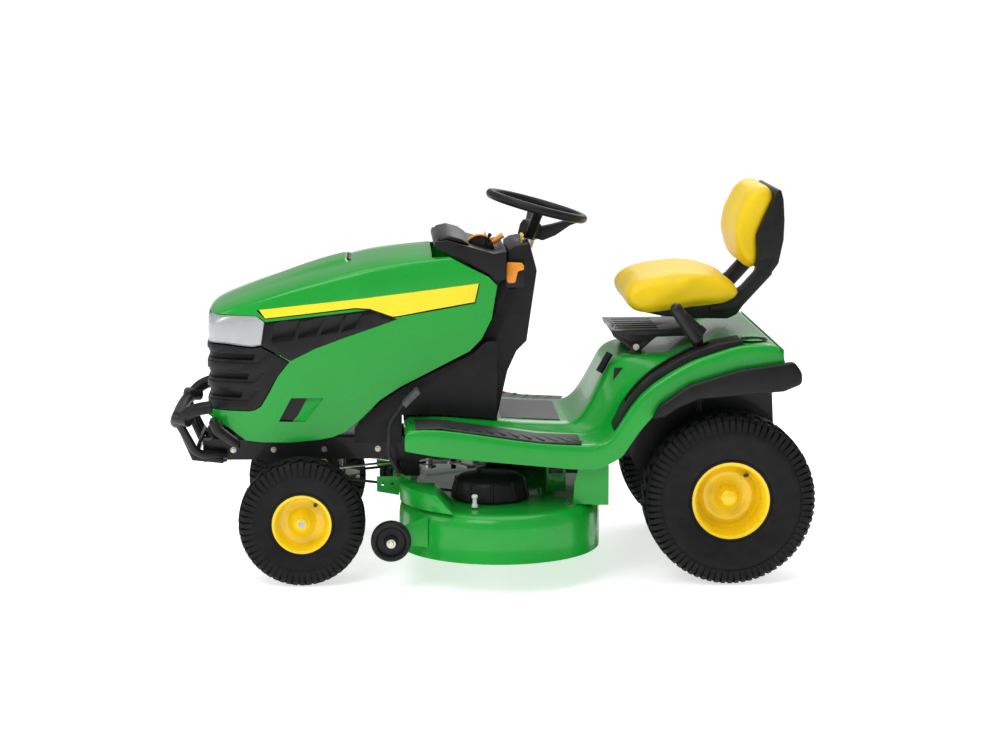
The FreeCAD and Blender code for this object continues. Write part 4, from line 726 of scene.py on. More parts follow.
class MOWER_OT_nose(bpy.types.Operator):
    """Builds the grille and the headlights that wrap the hood's nose"""
    bl_idname = "mower.nose"
    bl_label = "Grille and headlights"

    def execute(self, context):
        sheet = hood_sheet("nose_sheet", 0.8)
        softened(sheet, 2)
        grille = hood_shell_from(sheet, "front_grille_face", 0.026)
        kept_in(grille, grown(GRILLE_OUTLINE, -1.5))
        for low, high, rear in ((643, 662, 1376), (586, 605, 1394), (531, 550, 1414)):
            for side in (LEFT, RIGHT):
                step = hood_shell_from(sheet, "louvre_step", 0.005, 0.003)
                band = [(1560, low - 9), (rear - 14, low - 9), (rear - 44, high + 2), (rear - 30, high + 9),
                        (1560, high + 9)]
                kept_in(step, band, *span(side, 16, BEYOND))
                combine(grille, step)
                slot = [(1560, low), (rear + 6, low), (rear, high - 6), (rear + 2, high), (1560, high)]
                cut_by(grille, slot, *span(side, 22, BEYOND))
        rounded(grille, 0.0012, 2, 40)
        place(grille, black_moulding(), "hood", "black_plastic", "front_grille")

        behind = [(1540, 770), (1330, 770), (1330, 480), (1540, 480)]
        back = inner_wall("grille_backing", 30.0, 0.003, behind, -235, 235)
        place(back, black_moulding(), "hood", "black_plastic")

        lens = hood_shell_from(sheet, "headlight_lenses", 0.003)
        kept_in(lens, grown(LIGHT_OUTLINE, -1.5))
        middle = [(1300, 600), (1600, 600), (1600, 900), (1300, 900)]
        cut_by(lens, middle, -46, 46)
        rounded(lens, 0.0008, 1, 50)
        place(lens, lens_plastic(), "hood", "lens", "headlights")

        bowl_sheet = hood_sheet("bowl_sheet", 16.0)
        softened(bowl_sheet, 2)
        bowl = hood_shell_from(bowl_sheet, "headlight_reflectors", 0.004)
        kept_in(bowl, grown(LIGHT_OUTLINE, -4))
        cut_by(bowl, middle, -50, 50)
        smooth(bowl)
        place(bowl, silver_reflector(), "hood", "lens")
        badge = hood_shell_from(sheet, "nose_bridge", 0.008)
        kept_in(badge, [(1560, 774), (1440, 774), (1440, 691), (1560, 691)], -45, 45)
        place(rounded(badge, 0.002, 2), gloss_moulding(), "hood", "gloss_black")
        bulbs = []
        for side in (LEFT, RIGHT):
            for x, y in ((1478, 120), (1444, 182)):
                clear()
                bpy.ops.mesh.primitive_uv_sphere_add(segments=24, ring_count=12, radius=0.026,
                                                     location=at(x, side * y, 733))
                bulbs.append(settle(bpy.context.object))
        place(smooth(join(bulbs, "headlight_bulbs")), silver_reflector(), "hood", "lens")
        remove(sheet)
        remove(bowl_sheet)
        return {"FINISHED"}


class MOWER_OT_guard(bpy.types.Operator):
    """Builds the front guard's moulded hoop and steel brackets"""
    bl_idname = "mower.guard"
    bl_label = "Front guard"

    def execute(self, context):
        hoop = tube("guard_hoop", [at(1504, 256, 508), at(1560, 256, 500), at(1612, 200, 452), at(1618, 100, 446),
                                   at(1618, -100, 446), at(1612, -200, 452), at(1560, -256, 500),
                                   at(1504, -256, 508)],
                    0.0188, 0.03, 6, 5)
        place(hoop, black_moulding(), "chassis", "frame_paint", "front_guard")
        pieces = []
        for side in (LEFT, RIGHT):
            arm = tube(f"guard_arm_{side}", [at(1606, side * 196, 452), at(1556, side * 176, 352),
                                             at(1470, side * 150, 346)],
                       0.013, 0.025)
            strap = side_prism("strap", [(1616, 438), (1570, 332), (1478, 322), (1478, 336), (1560, 346),
                                         (1602, 446)],
                               *span(side, 140, 166))
            pieces += [arm, rounded(strap, 0.0015)]
            wing = side_prism("wing", [(1494, 470), (1516, 462), (1500, 424), (1440, 384), (1424, 380), (1428, 396),
                                       (1478, 436)], *span(side, 180, 250))
            pieces.append(rounded(wing, 0.006, 3))
            cap = tube(f"guard_cap_{side}", [at(1610, side * 208, 470), at(1572, side * 236, 466)], 0.021)
            pieces.append(cap)
        skid = side_prism("skid", [(1566, 330), (1556, 330), (1548, 378), (1556, 380)], -150, 150)
        pieces.append(rounded(skid, 0.0015))
        place(join(pieces, "guard_brackets"), frame_paint(), "chassis", "frame_paint")
        return {"FINISHED"}


# ------------------------------------------------------------------ dash, wheel and controls

TOWER_SIDE = 160.4  # mm from the middle plane to the tower's left face
PAD_SIZE = (0.06, 0.064, 0.015)


class MOWER_OT_dash(bpy.types.Operator):
    """Builds the dash tower, its panel and what stands on them"""
    bl_idname = "mower.dash"
    bl_label = "Dash"

    def execute(self, context):
        tower = from_node("dash_tower", "tower_shell", 0.009, 3)
        place(tower, black_moulding(), "chassis", "black_plastic", "dash_tower")
        panel = from_node("dash_panel", "dash_top", 0.008, 3)
        place(panel, black_moulding(), "chassis", "black_plastic", "dash_panel")
        # crown of the panel, and the quadrant that the throttle moves along
        ridge = side_prism("dash_ridge", [(846, 978), (838, 993), (806, 1000), (770, 990), (744, 972), (812, 984)],
                           -196, 196)
        rounded(ridge, 0.009, 3)
        place(ridge, black_moulding(), "chassis", "black_plastic")
        dome = lathe("quadrant_dome", [(0, -8), (40, -8), (44, -2), (40, 6), (0, 8)], at(712, 85, 944), 1, 40, False)
        place(smooth(dome), gloss_moulding(), "chassis", "black_plastic")
        arc = []
        for i in range(13):
            angle = math.radians(20 + 120 * i / 12)
            arc.append(at(712 + 47 * math.cos(angle), 85, 944 + 47 * math.sin(angle)))
        place(tube("quadrant_arc", arc, 0.0035, 0.004, 2), orange_moulding(), "chassis", "orange_plastic")
        # plates that close the gaps to the hood and to the footrests
        for side in (LEFT, RIGHT):
            for name, outline in (("hood_gap_plate", [(600, 915), (700, 915), (740, 880), (740, 820), (600, 800)]),
                                  ("floor_gap_plate", [(832, 425), (918, 425), (918, 545), (832, 545)])):
                place(rounded(side_prism(name, outline, *span(side, 148, 154)), 0.001), black_moulding(), "chassis",
                      "black_plastic")
        # moulded pocket round the parking brake lever
        y = TOWER_SIDE
        pocket = side_prism("brake_pocket", [(584, 842), (636, 842), (638, 850), (638, 926), (584, 926)], y, y + 1.2)
        place(rounded(pocket, 0.0005), gloss_moulding(), "chassis", "black_plastic")
        fold = side_prism("tower_crease", [(690, 640), (700, 650), (640, 600), (646, 590)], y - 1, y + 3)
        place(rounded(fold, 0.002), black_moulding(), "chassis", "black_plastic")
        return {"FINISHED"}


class MOWER_OT_steering(bpy.types.Operator):
    """Builds the steering wheel with its rim, spokes and hub"""
    bl_idname = "mower.steering"
    bl_label = "Steering wheel"

    def execute(self, context):
        joint = JOINTS["steering_wheel_turn"]
        axis, centre = Vector(joint["axis"]), Vector(joint["pos_m"])
        turn = Vector((0, 0, 1)).rotation_difference(axis).to_matrix().to_4x4()
        clear()
        bpy.ops.mesh.primitive_torus_add(major_segments=72, minor_segments=20, major_radius=0.144,
                                         minor_radius=0.0133)
        pieces = [smooth(bpy.context.object)]
        spoke_outline = [(16, -94), (16, -62), (60, -40), (104, -14), (138, -2), (140, -10), (112, -30), (78, -70),
                         (44, -96)]
        for angle in (90, 180, 270):
            points = [Vector((x / 1000, 0.014, z / 1000)) for x, z in spoke_outline]
            spoke = rounded(prism("spoke", points, (0, -0.028, 0)), 0.004, 3)
            spoke.rotation_euler = (0, 0, math.radians(angle))
            pieces.append(settle(spoke))
        hub = lathe_up("hub", [(0.0, -46), (20, -46), (29, -52), (34, -66), (33, -94), (22, -100), (0.0, -100)],
                       Vector(), 48)
        pieces.append(smooth(hub))
        wheel = join(pieces, "steering_wheel_rim")
        wheel.matrix_world = Matrix.Translation(centre) @ turn
        settle(wheel)
        place(wheel, black_moulding(), "steering_column", "black_plastic", "steering_wheel")
        return {"FINISHED"}


class MOWER_OT_controls(bpy.types.Operator):
    """Builds the pedals, levers and knob, and gives the key its finish"""
    bl_idname = "mower.controls"
    bl_label = "Controls"

    def execute(self, context):
        pedals = (("brake_pedal", 305, 120, [(960, 312), (972, 340), (991, 374), (985, 462), (930, 540)], 45),
                  ("forward_pedal", -300, -120, [(960, 312), (1000, 345), (1018, 400), (1014, 455), (982, 520),
                                                 (962, 540)], 40),
                  ("reverse_pedal", -372, -120, [(915, 290), (974, 335), (982, 400), (978, 450), (930, 500),
                                                 (914, 512)], 40))
        for node, y, inner, path, lean in pedals:
            bar = tube("bar", [at(x, y, z) for x, z in path], 0.006, 0.012)
            pivot = tube("pivot", [at(path[0][0], y + math.copysign(9, y), path[0][1]),
                                   at(path[0][0], inner, path[0][1])], 0.0068)
            ribs = [box((0.004, 0.052, 0.004), (-0.022 + i * 0.0088, 0, 0.0078)) for i in range(6)]
            pad = rounded(join([box(PAD_SIZE), *ribs], "pad"), 0.0012, 2)
            x, z = path[-1]
            pad.matrix_world = Matrix.Translation(at(x - 8, y, z + 1)) @ Matrix.Rotation(math.radians(lean), 4, "Y")
            settle(pad)
            metal = join([bar, pivot], node + "_bar")
            place(metal, frame_paint(), node, "frame_paint", node)
            pad.name = node + "_pad"
            place(pad, pad_rubber(), node, "frame_paint")
        lever = tube("lift_lever_post", [at(60, 229, 404), at(77, 229, 569), at(77, 329, 569), at(80, 330, 726)],
                     0.0065, 0.015)
        place(lever, frame_paint(), "lift_lever", "frame_paint")
        grip = tube("lift_lever_grip", [at(83, 330, 730), at(100, 330, 746), at(124, 330, 768), at(140, 330, 780),
                                        at(152, 330, 788)],
                    0.0165, 0.01, 3, 6)
        softened(grip)
        place(smooth(grip), black_moulding(), "lift_lever", "frame_paint")
        collar = tube("lift_lever_collar", [at(76, 330, 724), at(90, 330, 736)], 0.0195)
        place(rounded(collar, 0.003), black_moulding(), "lift_lever", "frame_paint")
        throttle = tube("throttle_stem", [at(708, 62, 942), at(668, 62, 970)], 0.0052)
        paddle = tube("paddle", [at(672, 62, 967), at(650, 62, 983), at(642, 62, 988)], 0.0085, 0.006)
        place(join([throttle, paddle], "throttle_handle"), orange_moulding(), "throttle_lever", "orange_plastic",
              "throttle_lever")
        place(from_node("choke_lever", "choke_handle", 0.0), black_moulding(), "choke_lever", "gloss_black",
              "choke_lever")
        head = side_prism("brake_head", [(586, 896), (586, 910), (592, 917), (634, 919), (638, 914), (638, 866),
                                         (634, 857),
                                         (612, 858), (608, 872), (604, 892)], 164.5, 182)
        stalk = side_prism("brake_stalk", [(611, 872), (611, 886), (627, 886), (627, 872)], 130, 168)
        place(join([rounded(head, 0.004, 3), stalk], "parking_brake_handle"), orange_moulding(),
              "parking_brake_lever",
              "orange_plastic", "parking_brake_lever")
        place(from_node("pto_knob", "blade_switch_knob", 0.0008), stripe_vinyl(), "pto_knob", "knob_yellow",
              "pto_knob")
        carry(zinc_steel(), "ignition_key")
        carry(frame_paint(), "lift_lever", "lift_shaft")
        return {"FINISHED"}


# ------------------------------------------------------------------ fenders

# Heights along the machine in mm: the fenders and foot rests, the saddle between them, and the skirt's lower edge
FENDER = [(-156, 640), (-150, 676), (-138, 696), (-118, 706), (-20, 701), (111, 658), (170, 627), (227, 590),
          (262, 558),
          (290, 524), (314, 486), (334, 452), (356, 430), (384, 418), (420, 414), (554, 421), (727, 447), (842, 465),
          (926, 464),
          (938, 458), (943, 440)]
SADDLE = [(-156, 640), (-150, 676), (-138, 696), (-118, 706), (-60, 700), (0, 668), (60, 646), (290, 640), (318, 630),
          (336, 612), (362, 560), (392, 500), (418, 462), (446, 445), (500, 445), (660, 455), (842, 469), (926, 467),
          (938, 460), (943, 442)]
SKIRT = [(-156, 648), (-150, 645), (37, 612), (123, 580), (209, 520), (266, 454), (317, 378), (381, 343), (453, 344),
         (612, 360),
         (842, 383), (943, 402)]


def height_on(line, x):
    """The height of a line of (x, height) points at x."""
    for (x0, z0), (x1, z1) in zip(line, line[1:]):
        if x0 <= x <= x1:
            return z0 + (z1 - z0) * (x - x0) / (x1 - x0)
    return line[0][1] if x < line[0][0] else line[-1][1]


def fender_body():
    """The moulded body from the foot rests over the saddle to the rear edge, as one sheet with its skirts."""
    stations = [-156, -150, -140, -118, -70, -20, 30, 80, 111, 140, 170, 200, 227, 246, 262, 276, 290, 302, 314, 325,
                336,
                347, 358, 372, 386, 402, 420, 446, 480, 554, 640, 727, 842, 900, 928, 938, 943]
    rings = []
    for x in stations:
        rest, saddle, hem = height_on(FENDER, x), height_on(SADDLE, x), height_on(SKIRT, x)
        saddle = max(saddle, rest)
        rise = saddle - rest
        shoulder = 236 - min(rise, 150) * 0.25
        hem = min(hem, rest - 4)
        side = [(421.5, hem), (423, hem + (rest - hem) * 0.35), (423, hem + (rest - hem) * 0.75), (420.5, rest - 5),
                (414, rest - 0.5), (400, rest), (330, rest), (272, rest + rise * 0.03), (250, rest + rise * 0.14),
                (shoulder + 2, rest + rise * 0.62), (shoulder - 12, rest + rise * 0.93), (shoulder - 42, saddle),
                (90, saddle), (0, saddle)]
        rings.append([at(x, y, z) for y, z in side] + [at(x, -y, z) for y, z in side[-2::-1]])
    made = drawn_out("fender_body", rings)
    outward()
    done()
    softened(made)
    modify(made, "SOLIDIFY", thickness=0.003, offset=-1)
    apron = prism("rear_apron", [at(-150, y, z) for y, z in ((-418, 690), (418, 690), (420, 640), (300, 600),
                                                             (-300, 600),
                                                             (-420, 640))], (0.004, 0, 0))
    return join([smooth(made, 40), rounded(apron, 0.001, 1)], "fender_body")


class MOWER_OT_fenders(bpy.types.Operator):
    """Builds the fender deck with its mats, trims and side panels"""
    bl_idname = "mower.fenders"
    bl_label = "Fender deck"

    def execute(self, context):
        place(fender_body(), green_paint(), "chassis", "green_paint", "fender_deck")
        ears = []
        for side in (LEFT, RIGHT):
            ear = side_prism("ear", [(232, 630), (239, 674), (263, 674), (270, 630)], *span(side, 153, 159))
            ears.append(rounded(ear, 0.0015))
        place(join(ears, "seat_hinge_ears"), frame_paint(), "chassis", "green_paint")
        trims = from_node("fender_trims", "wheel_arch_trims", 0.012, 4, 25)
        place(smooth(trims, 60), black_moulding(), "chassis", "black_plastic", "fender_trims")
        panels = []
        for side in (LEFT, RIGHT):
            top = [(x, height_on(FENDER, x) + 13 + (8 if i in range(2, 9) else 0))
                   for i, x in enumerate((334, 326, 312, 290, 262, 227, 170, 111, 40, -14, -34))]
            under = [(x, height_on(FENDER, x) - 4) for x in (-34, 40, 111, 170, 227, 262, 290, 312, 326, 338)]
            panel = rounded(side_prism("panel", top + under, *span(side, 286, 396)), 0.009, 3, 50)
            if side == LEFT:
                cut_by(panel, [(56, 560), (56, 760), (300, 760), (300, 450), (240, 450)], 311, 349)
            panels.append(smooth(panel, 50))
        place(join(panels, "lever_slot_panels"), black_moulding(), "chassis", "black_plastic", "fender_side_panels")
        floor = side_prism("slot_floor", [(x, height_on(FENDER, x) + 5) for x in (56, 111, 170, 225)]
                           + [(x, height_on(FENDER, x) + 2) for x in (225, 170, 111, 56)], 309, 351)
        place(floor, gloss_moulding(), "chassis", "black_plastic")
        mats = from_node("foot_mats", "foot_mat_bases", 0.0012, 1)
        place(mats, mat_rubber(), "chassis", "mat_rubber", "foot_mats")
        line = [(433, 415.4), (554, 421), (727, 447), (842, 465), (912, 464)]
        ribs = []
        for side in (LEFT, RIGHT):
            for i in range(12):
                x = 452 + i * 37
                z = height_on(line, x) + 4.6
                lean = height_on(line, x + 10) - height_on(line, x - 10)
                ribs.append(box((0.009, 0.118, 0.0028), at(x, side * 343, z),
                                (0, -math.atan2(lean, 20), math.radians(22 * side))))
        place(rounded(join(ribs, "foot_mat_ribs"), 0.0008, 1), mat_rubber(), "chassis", "mat_rubber")
        label = prism("tunnel_label", [at(478, -160, 446.2), at(478, 172, 446.2), at(654, 172, 454.6),
                                       at(654, -160, 454.6)],
                      (0, 0, 0.001))
        place(label, label_film(), "chassis", "green_paint")
        insert = tube("riser_insert", [at(362, 176, 590), at(330, 172, 646)], 0.011)
        place(insert, black_moulding(), "chassis", "black_plastic")
        cup = lathe_up("cup_holder", [(44, 706), (46, 708), (44, 709), (38, 707), (34, 690), (0.0, 690)],
                       at(-70, 330, 0), 40)
        place(smooth(cup), black_moulding(), "chassis", "black_plastic")
        return {"FINISHED"}


# ------------------------------------------------------------------ seat

PRESSURE = 3.5
CLOTH_FRAMES = 20


def inflated(made, pressure, reach):
    """Swells a padded form with cloth, holding each point within reach of where it was."""
    modify(made, "REMESH", mode="VOXEL", voxel_size=sizes().cushion_voxel)
    scene = bpy.context.scene
    rest = [vertex.co.copy() for vertex in made.data.vertices]
    cloth = made.modifiers.new("cloth", "CLOTH")
    cloth.settings.use_pressure = True
    cloth.settings.uniform_pressure_force = pressure
    cloth.settings.tension_stiffness = 18
    cloth.settings.bending_stiffness = 2
    cloth.settings.effector_weights.gravity = 0
    cloth.point_cache.frame_start, cloth.point_cache.frame_end = 1, CLOTH_FRAMES
    for number in range(1, CLOTH_FRAMES + 1):
        scene.frame_set(number)
    pick(made)
    bpy.ops.object.modifier_apply(modifier="cloth")
    for vertex, start in zip(made.data.vertices, rest):
        step = vertex.co - start
        if step.length > reach:
            vertex.co = start + step.normalized() * reach
    scene.frame_set(1)
    modify(made, "SMOOTH", factor=0.6, iterations=14)
    softened(made)
    return smooth(made, 180)


SEAT_SIDE = [(300, 822), (294, 798), (276, 780), (252, 774), (215, 774), (67, 792), (-17, 803), (-52, 812),
             (-64, 824),
             (-52, 844), (-20, 858), (42, 876), (103, 880), (178, 872), (242, 858), (284, 842)]
BACK_SIDE = [(-46, 990), (-56, 1050), (-92, 1128), (-124, 1148), (-148, 1146), (-157, 1120), (-112, 1000),
             (-108, 930),
             (-106, 886), (-88, 882), (-60, 925)]


def cushion_form(name, outline, half, crown):
    """A cushion drawn from its side outline: narrower sections towards its two sides."""
    cx, cz = middle_of(outline)
    rings = []
    for share, scale in ((-1.0, 0.55), (-0.97, 0.78), (-0.88, 0.92), (-0.6, 1.0), (0.6, 1.0), (0.88, 0.92),
                         (0.97, 0.78),
                         (1.0, 0.55)):
        ring = [at(cx + (x - cx) * (1 - (1 - scale) * crown[0]), half * share,
                   cz + (z - cz) * (1 - (1 - scale) * crown[1]))
                for x, z in outline]
        rings.append(ring)
    made = drawn_out(name, rings, filled=True)
    outward()
    done()
    return made


class MOWER_OT_seat(bpy.types.Operator):
    """Builds the padded cushions, the pan under them and the backrest shell"""
    bl_idname = "mower.seat"
    bl_label = "Seat"

    def execute(self, context):
        seat = cushion_form("seat_pad", SEAT_SIDE, 228, (0.42, 0.75))
        inflated(seat, PRESSURE, 0.010)
        place(seat, seat_vinyl(), "seat", "seat_vinyl", "seat_cushion")
        back = cushion_form("backrest_pad", BACK_SIDE, 178, (0.3, 0.55))
        inflated(back, PRESSURE, 0.009)
        place(back, seat_vinyl(), "seat", "seat_vinyl", "backrest_cushion")
        pan = side_prism("seat_base", [(256, 786), (244, 770), (180, 756), (100, 748), (-20, 746), (-48, 758),
                                       (-70, 790),
                                       (-62, 812), (-17, 806), (67, 796), (215, 778)], -172, 172)
        place(rounded(pan, 0.009, 3), black_moulding(), "seat", "black_plastic", "seat_pan")
        shell = side_prism("backrest_frame", [(-106, 893), (-104, 940), (-100, 997), (-122, 1044), (-150, 1104),
                                              (-162, 1128),
                                              (-172, 1130), (-180, 1100), (-184, 1040), (-182, 981), (-168, 912),
                                              (-150, 886)],
                           -186, 186)
        rounded(shell, 0.009, 3)
        pieces = [shell]
        for side in (LEFT, RIGHT):
            arm = side_prism("arm", [(35, 790), (-17, 812), (-61, 845), (-101, 889), (-104, 930), (-160, 930),
                                     (-148, 878),
                                     (-57, 779), (-10, 768), (35, 768)], *span(side, 140, 190))
            pieces.append(rounded(arm, 0.009, 3))
            for y in (60, 120):
                rib = side_prism("rib", [(-170, 920), (-178, 985), (-182, 1040), (-178, 1100), (-184, 1104),
                                         (-190, 1040),
                                         (-188, 981), (-176, 915)], *span(side, y - 5, y + 5))
                pieces.append(rounded(rib, 0.002))
        place(join(pieces, "backrest_frame"), black_moulding(), "seat", "black_plastic", "backrest_shell")
        bracket = from_node("seat_bracket", "seat_hinge_bracket", 0.0015, 2)
        place(bracket, frame_paint(), "seat_hinge_plate", "frame_paint", "seat_bracket")
        bolts = [bolt("b", at(251, side * 163, 662), 0.007, 0.005, side) for side in (LEFT, RIGHT)]
        place(join(bolts, "seat_pivot_bolts"), zinc_steel(), "chassis", "frame_paint")
        return {"FINISHED"}


# ------------------------------------------------------------------ wheels

# Tyre radius, radius at the bead and half width, in mm
TYRES = {"front": (184.5, 82, 72.5), "rear": (250, 109, 100)}
# Each hub cap's profile of (radius, distance outward) in mm, and how many steps it is spun in
HUB_CAPS = {"front": ([(0, 60), (14, 59.5), (18, 56), (19, 50), (0, 50)], 36),
            "rear": ([(0, 46), (18, 45), (23, 41), (24, 30), (0, 30)], 30)}


def tread(name, centre, radius, half, pitches, depth):
    """One pitch of turf tread blocks, spun round the wheel."""
    blocks = []
    pitch = 2 * math.pi * radius / pitches
    rows = [(-0.30, 0.30, 0.34, 0.0), (0.30, 0.30, 0.34, 0.5), (0.0, 0.24, 0.30, 0.25), (0.0, 0.24, 0.30, 0.75),
            (-0.62, 0.27, 0.36, 0.5), (0.62, 0.27, 0.36, 0.0)]
    for across, wide, long_share, phase in rows:
        width, run = wide * half, long_share * pitch
        top = radius - (abs(across) ** 3) * 0.024 * radius / 0.25
        outline = [(-run, -width / 2), (run * 0.5, -width / 2), (run, width / 2), (-run * 0.5, width / 2)]
        points = [Vector((u, across * half + v, top - depth - 0.004)) for u, v in outline]
        block = prism("block", points, (0, 0, depth + 0.004))
        turned_block(block, phase * 2 * math.pi / pitches, centre)
        blocks.append(block)
    # shoulder lugs run down the sidewall
    for side in (LEFT, RIGHT):
        for phase in (0.0, 0.5):
            run = pitch * 0.15
            y0, y1, y2 = side * half * 0.74, side * half * 0.93, side * half * 0.985
            z0, z1, z2 = radius - 0.006, radius - 0.018, radius - 0.046
            drop = [(y0, z0 + 0.003), (y1, z1 + 0.003), (y2 + side * 0.001, z2), (y2 - side * 0.01, z2),
                    (y1 - side * 0.012, z1 - 0.012), (y0, z0 - 0.012)]
            points = [Vector((-run, y, z)) for y, z in drop]
            block = prism("lug", points, (2 * run, 0, 0))
            turned_block(block, (phase + (0.25 if side == RIGHT else 0)) * 2 * math.pi / pitches, centre)
            blocks.append(block)
    made = join(blocks, name)
    edit()
    bpy.ops.mesh.select_all(action="SELECT")
    bpy.ops.mesh.spin(steps=pitches, dupli=True, angle=2 * math.pi, center=centre, axis=(0, 1, 0))
    weld(0.00001)
    outward()
    done()
    return made


def turned_block(block, angle, centre):
    block.matrix_world = Matrix.Translation(centre) @ Matrix.Rotation(angle, 4, "Y") @ block.matrix_world
    settle(block)


def tyre(name, centre, radius, bead, half, side, pitches, depth):
    """A turf tyre: a rounded carcass with its sidewall rings and tread."""
    r = radius - depth
    outer = [(bead, half * 0.76), (bead + 5, half * 0.84), (bead + 10, half * 0.855), (bead + 12, half * 0.83),
             (bead + 22, half * 0.9), ((r + bead) / 2, half * 0.965), ((r + bead) / 2 + 14, half * 0.985),
             (r - 44, half * 0.97), (r - 30, half * 0.945), (r - 16, half * 0.86), (r - 5, half * 0.72),
             (r, half * 0.45)]
    ring = outer + [(r + 0.6, 0.0)] + [(a, -b) for a, b in outer[::-1]]
    wall = [(bead, half * 0.76 - 8), (r - 20, half * 0.8), (r - 20, -half * 0.8), (bead, -half * 0.76 + 8)]
    made = lathe(name, ring + wall[::-1], centre, side, 72)
    smooth(made, 50)
    blocks = tread(name + "_tread", centre, (radius - 0.25) / 1000, half / 1000, pitches, depth / 1000)
    return join([made, blocks], name)


class MOWER_OT_wheels(bpy.types.Operator):
    """Builds the four tyres on their dished rims"""
    bl_idname = "mower.wheels"
    bl_label = "Wheels"

    def execute(self, context):
        depth = sizes().lug_depth * 1000
        for end, pitches in (("front", sizes().front_pitches), ("rear", sizes().rear_pitches)):
            radius, bead, half = TYRES[end]
            for side, label in ((LEFT, "left"), (RIGHT, "right")):
                centre = Vector(JOINTS[f"{end}_wheel_{label}_roll"]["pos_m"])
                body = f"{end}_wheel_{label}"
                rubber = tyre(f"{end}_turf_tyre_{label}", centre, radius, bead, half, side, pitches, depth)
                place(rubber, tyre_rubber(), body, "tyre_rubber", f"{end}_tyre_{label}")
                rim = (front_rim if end == "front" else rear_rim)(f"{end}_dish_{label}", centre, side, bead, half)
                place(rim, yellow_paint(), body, "yellow_paint", f"{end}_rim_{label}")
                profile, steps = HUB_CAPS[end]
                cap = lathe(f"{end}_hub_cap_{label}", profile, centre, side, steps, False)
                place(smooth(cap), yellow_paint(), body, "yellow_paint")
                if end == "rear":
                    shaft = lathe(f"half_shaft_{label}", [(0, -352), (9.5, -352), (9.5, 30), (0, 30)], centre, side,
                                  24, False)
                    place(smooth(shaft), bare_steel(), body, "bare_steel")
                reach = bead * 0.48 / 1000
                spot = centre + Vector((-reach, 0, reach * 1.12))
                out = half * 0.02
                valve = tube(f"{end}_valve_{label}", [spot + Vector((0, side * out / 1000, 0)),
                                                      spot + Vector((0, side * (out + 34) / 1000, 0.008))], 0.0055)
                place(valve, mat_rubber(), body, "tyre_rubber")
        return {"FINISHED"}


def front_rim(name, centre, side, bead, half):
    b = bead
    edge = half * 0.76
    profile = [(b - 0.5, -edge), (b + 5, -edge - 2), (b + 5, -edge - 4), (b - 5, -edge - 3), (b - 12, -12), (30, -18),
               (19, -32),
               (9.7, -32), (9.7, 50), (20, 50), (24, 46), (30, 30), (42, 16), (b - 18, 12), (b - 11, 20),
               (b - 7, edge - 4),
               (b - 3, edge + 4), (b + 3, edge + 6), (b + 6, edge + 4), (b + 6, edge + 1.5), (b - 0.5, edge)]
    made = lathe(name, profile, centre, side, 64)
    return smooth(rounded(made, 0.0012, 2, 25), 50)


def rear_rim(name, centre, side, bead, half):
    b = bead
    edge = half * 0.76
    profile = [(b - 0.5, -edge), (b + 10, -edge - 2), (b + 10, -edge - 5), (b - 5, -edge - 4), (b - 20, -30),
               (42, -36),
               (27, -58), (9.7, -58), (9.7, 32), (20, 32), (24, 28), (34, 4), (46, -2), (62, 6), (72, 6),
               (b - 22, -6),
               (b - 14, 8), (b - 9, edge - 6), (b - 4, edge + 4), (b + 6, edge + 7), (b + 11, edge + 5),
               (b + 11, edge + 1.5),
               (b - 0.5, edge)]
    made = lathe(name, profile, centre, side, 72)
    return smooth(rounded(made, 0.0015, 2, 25), 50)


# ------------------------------------------------------------------ cutting deck

DECK_CENTRES = ((665, 262), (615, -262))
HALF_TURN_STEPS = 28


def deck_loop(radius, z):
    """The deck's plan at one height: two circles joined by their tangents."""
    (x0, y0), (x1, y1) = DECK_CENTRES
    lean = math.atan2(y1 - y0, x1 - x0)
    points = []
    for (cx, cy), start in (((x0, y0), lean + math.pi / 2), ((x1, y1), lean - math.pi / 2)):
        for i in range(HALF_TURN_STEPS + 1):
            angle = start + math.pi * i / HALF_TURN_STEPS
            points.append(at(cx + radius * math.cos(angle), cy + radius * math.sin(angle), z))
    return points + points[:1]


def deck_stamping():
    """The deck's stamped shell, with a rolled lower lip and rounded shoulders."""
    sections = ((97, 296), (99, 296), (101, 294.4), (150, 294), (196, 293.4), (210, 291.5), (221, 287), (229, 279.5),
                (233.6, 270), (235, 258), (235.2, 250), (231.5, 246), (231.2, 238))
    rings = [deck_loop(radius, z)[:-1] for z, radius in sections]
    made = trace("deck_skin", deck_loop(sections[0][1], sections[0][0]))
    bpy.ops.mesh.remove_doubles(threshold=0.00002)
    for before, ring in zip(rings, rings[1:]):
        bpy.ops.mesh.extrude_region_move(TRANSFORM_OT_translate={"value": (0, 0, ring[0].z - before[0].z)})
        mesh = bmesh.from_edit_mesh(made.data)
        for vertex in [v for v in mesh.verts if v.select]:
            nearest = min(range(len(before)), key=lambda i: (before[i].xy - vertex.co.xy).length_squared)
            vertex.co = ring[nearest]
        bmesh.update_edit_mesh(made.data)
    bpy.ops.mesh.edge_face_add()
    outward()
    done()
    modify(made, "SOLIDIFY", thickness=0.003, offset=-1)
    cut_by(made, [(633, 90), (887, 90), (887, 232), (633, 232)], -600, -470)
    return smooth(made, 50)


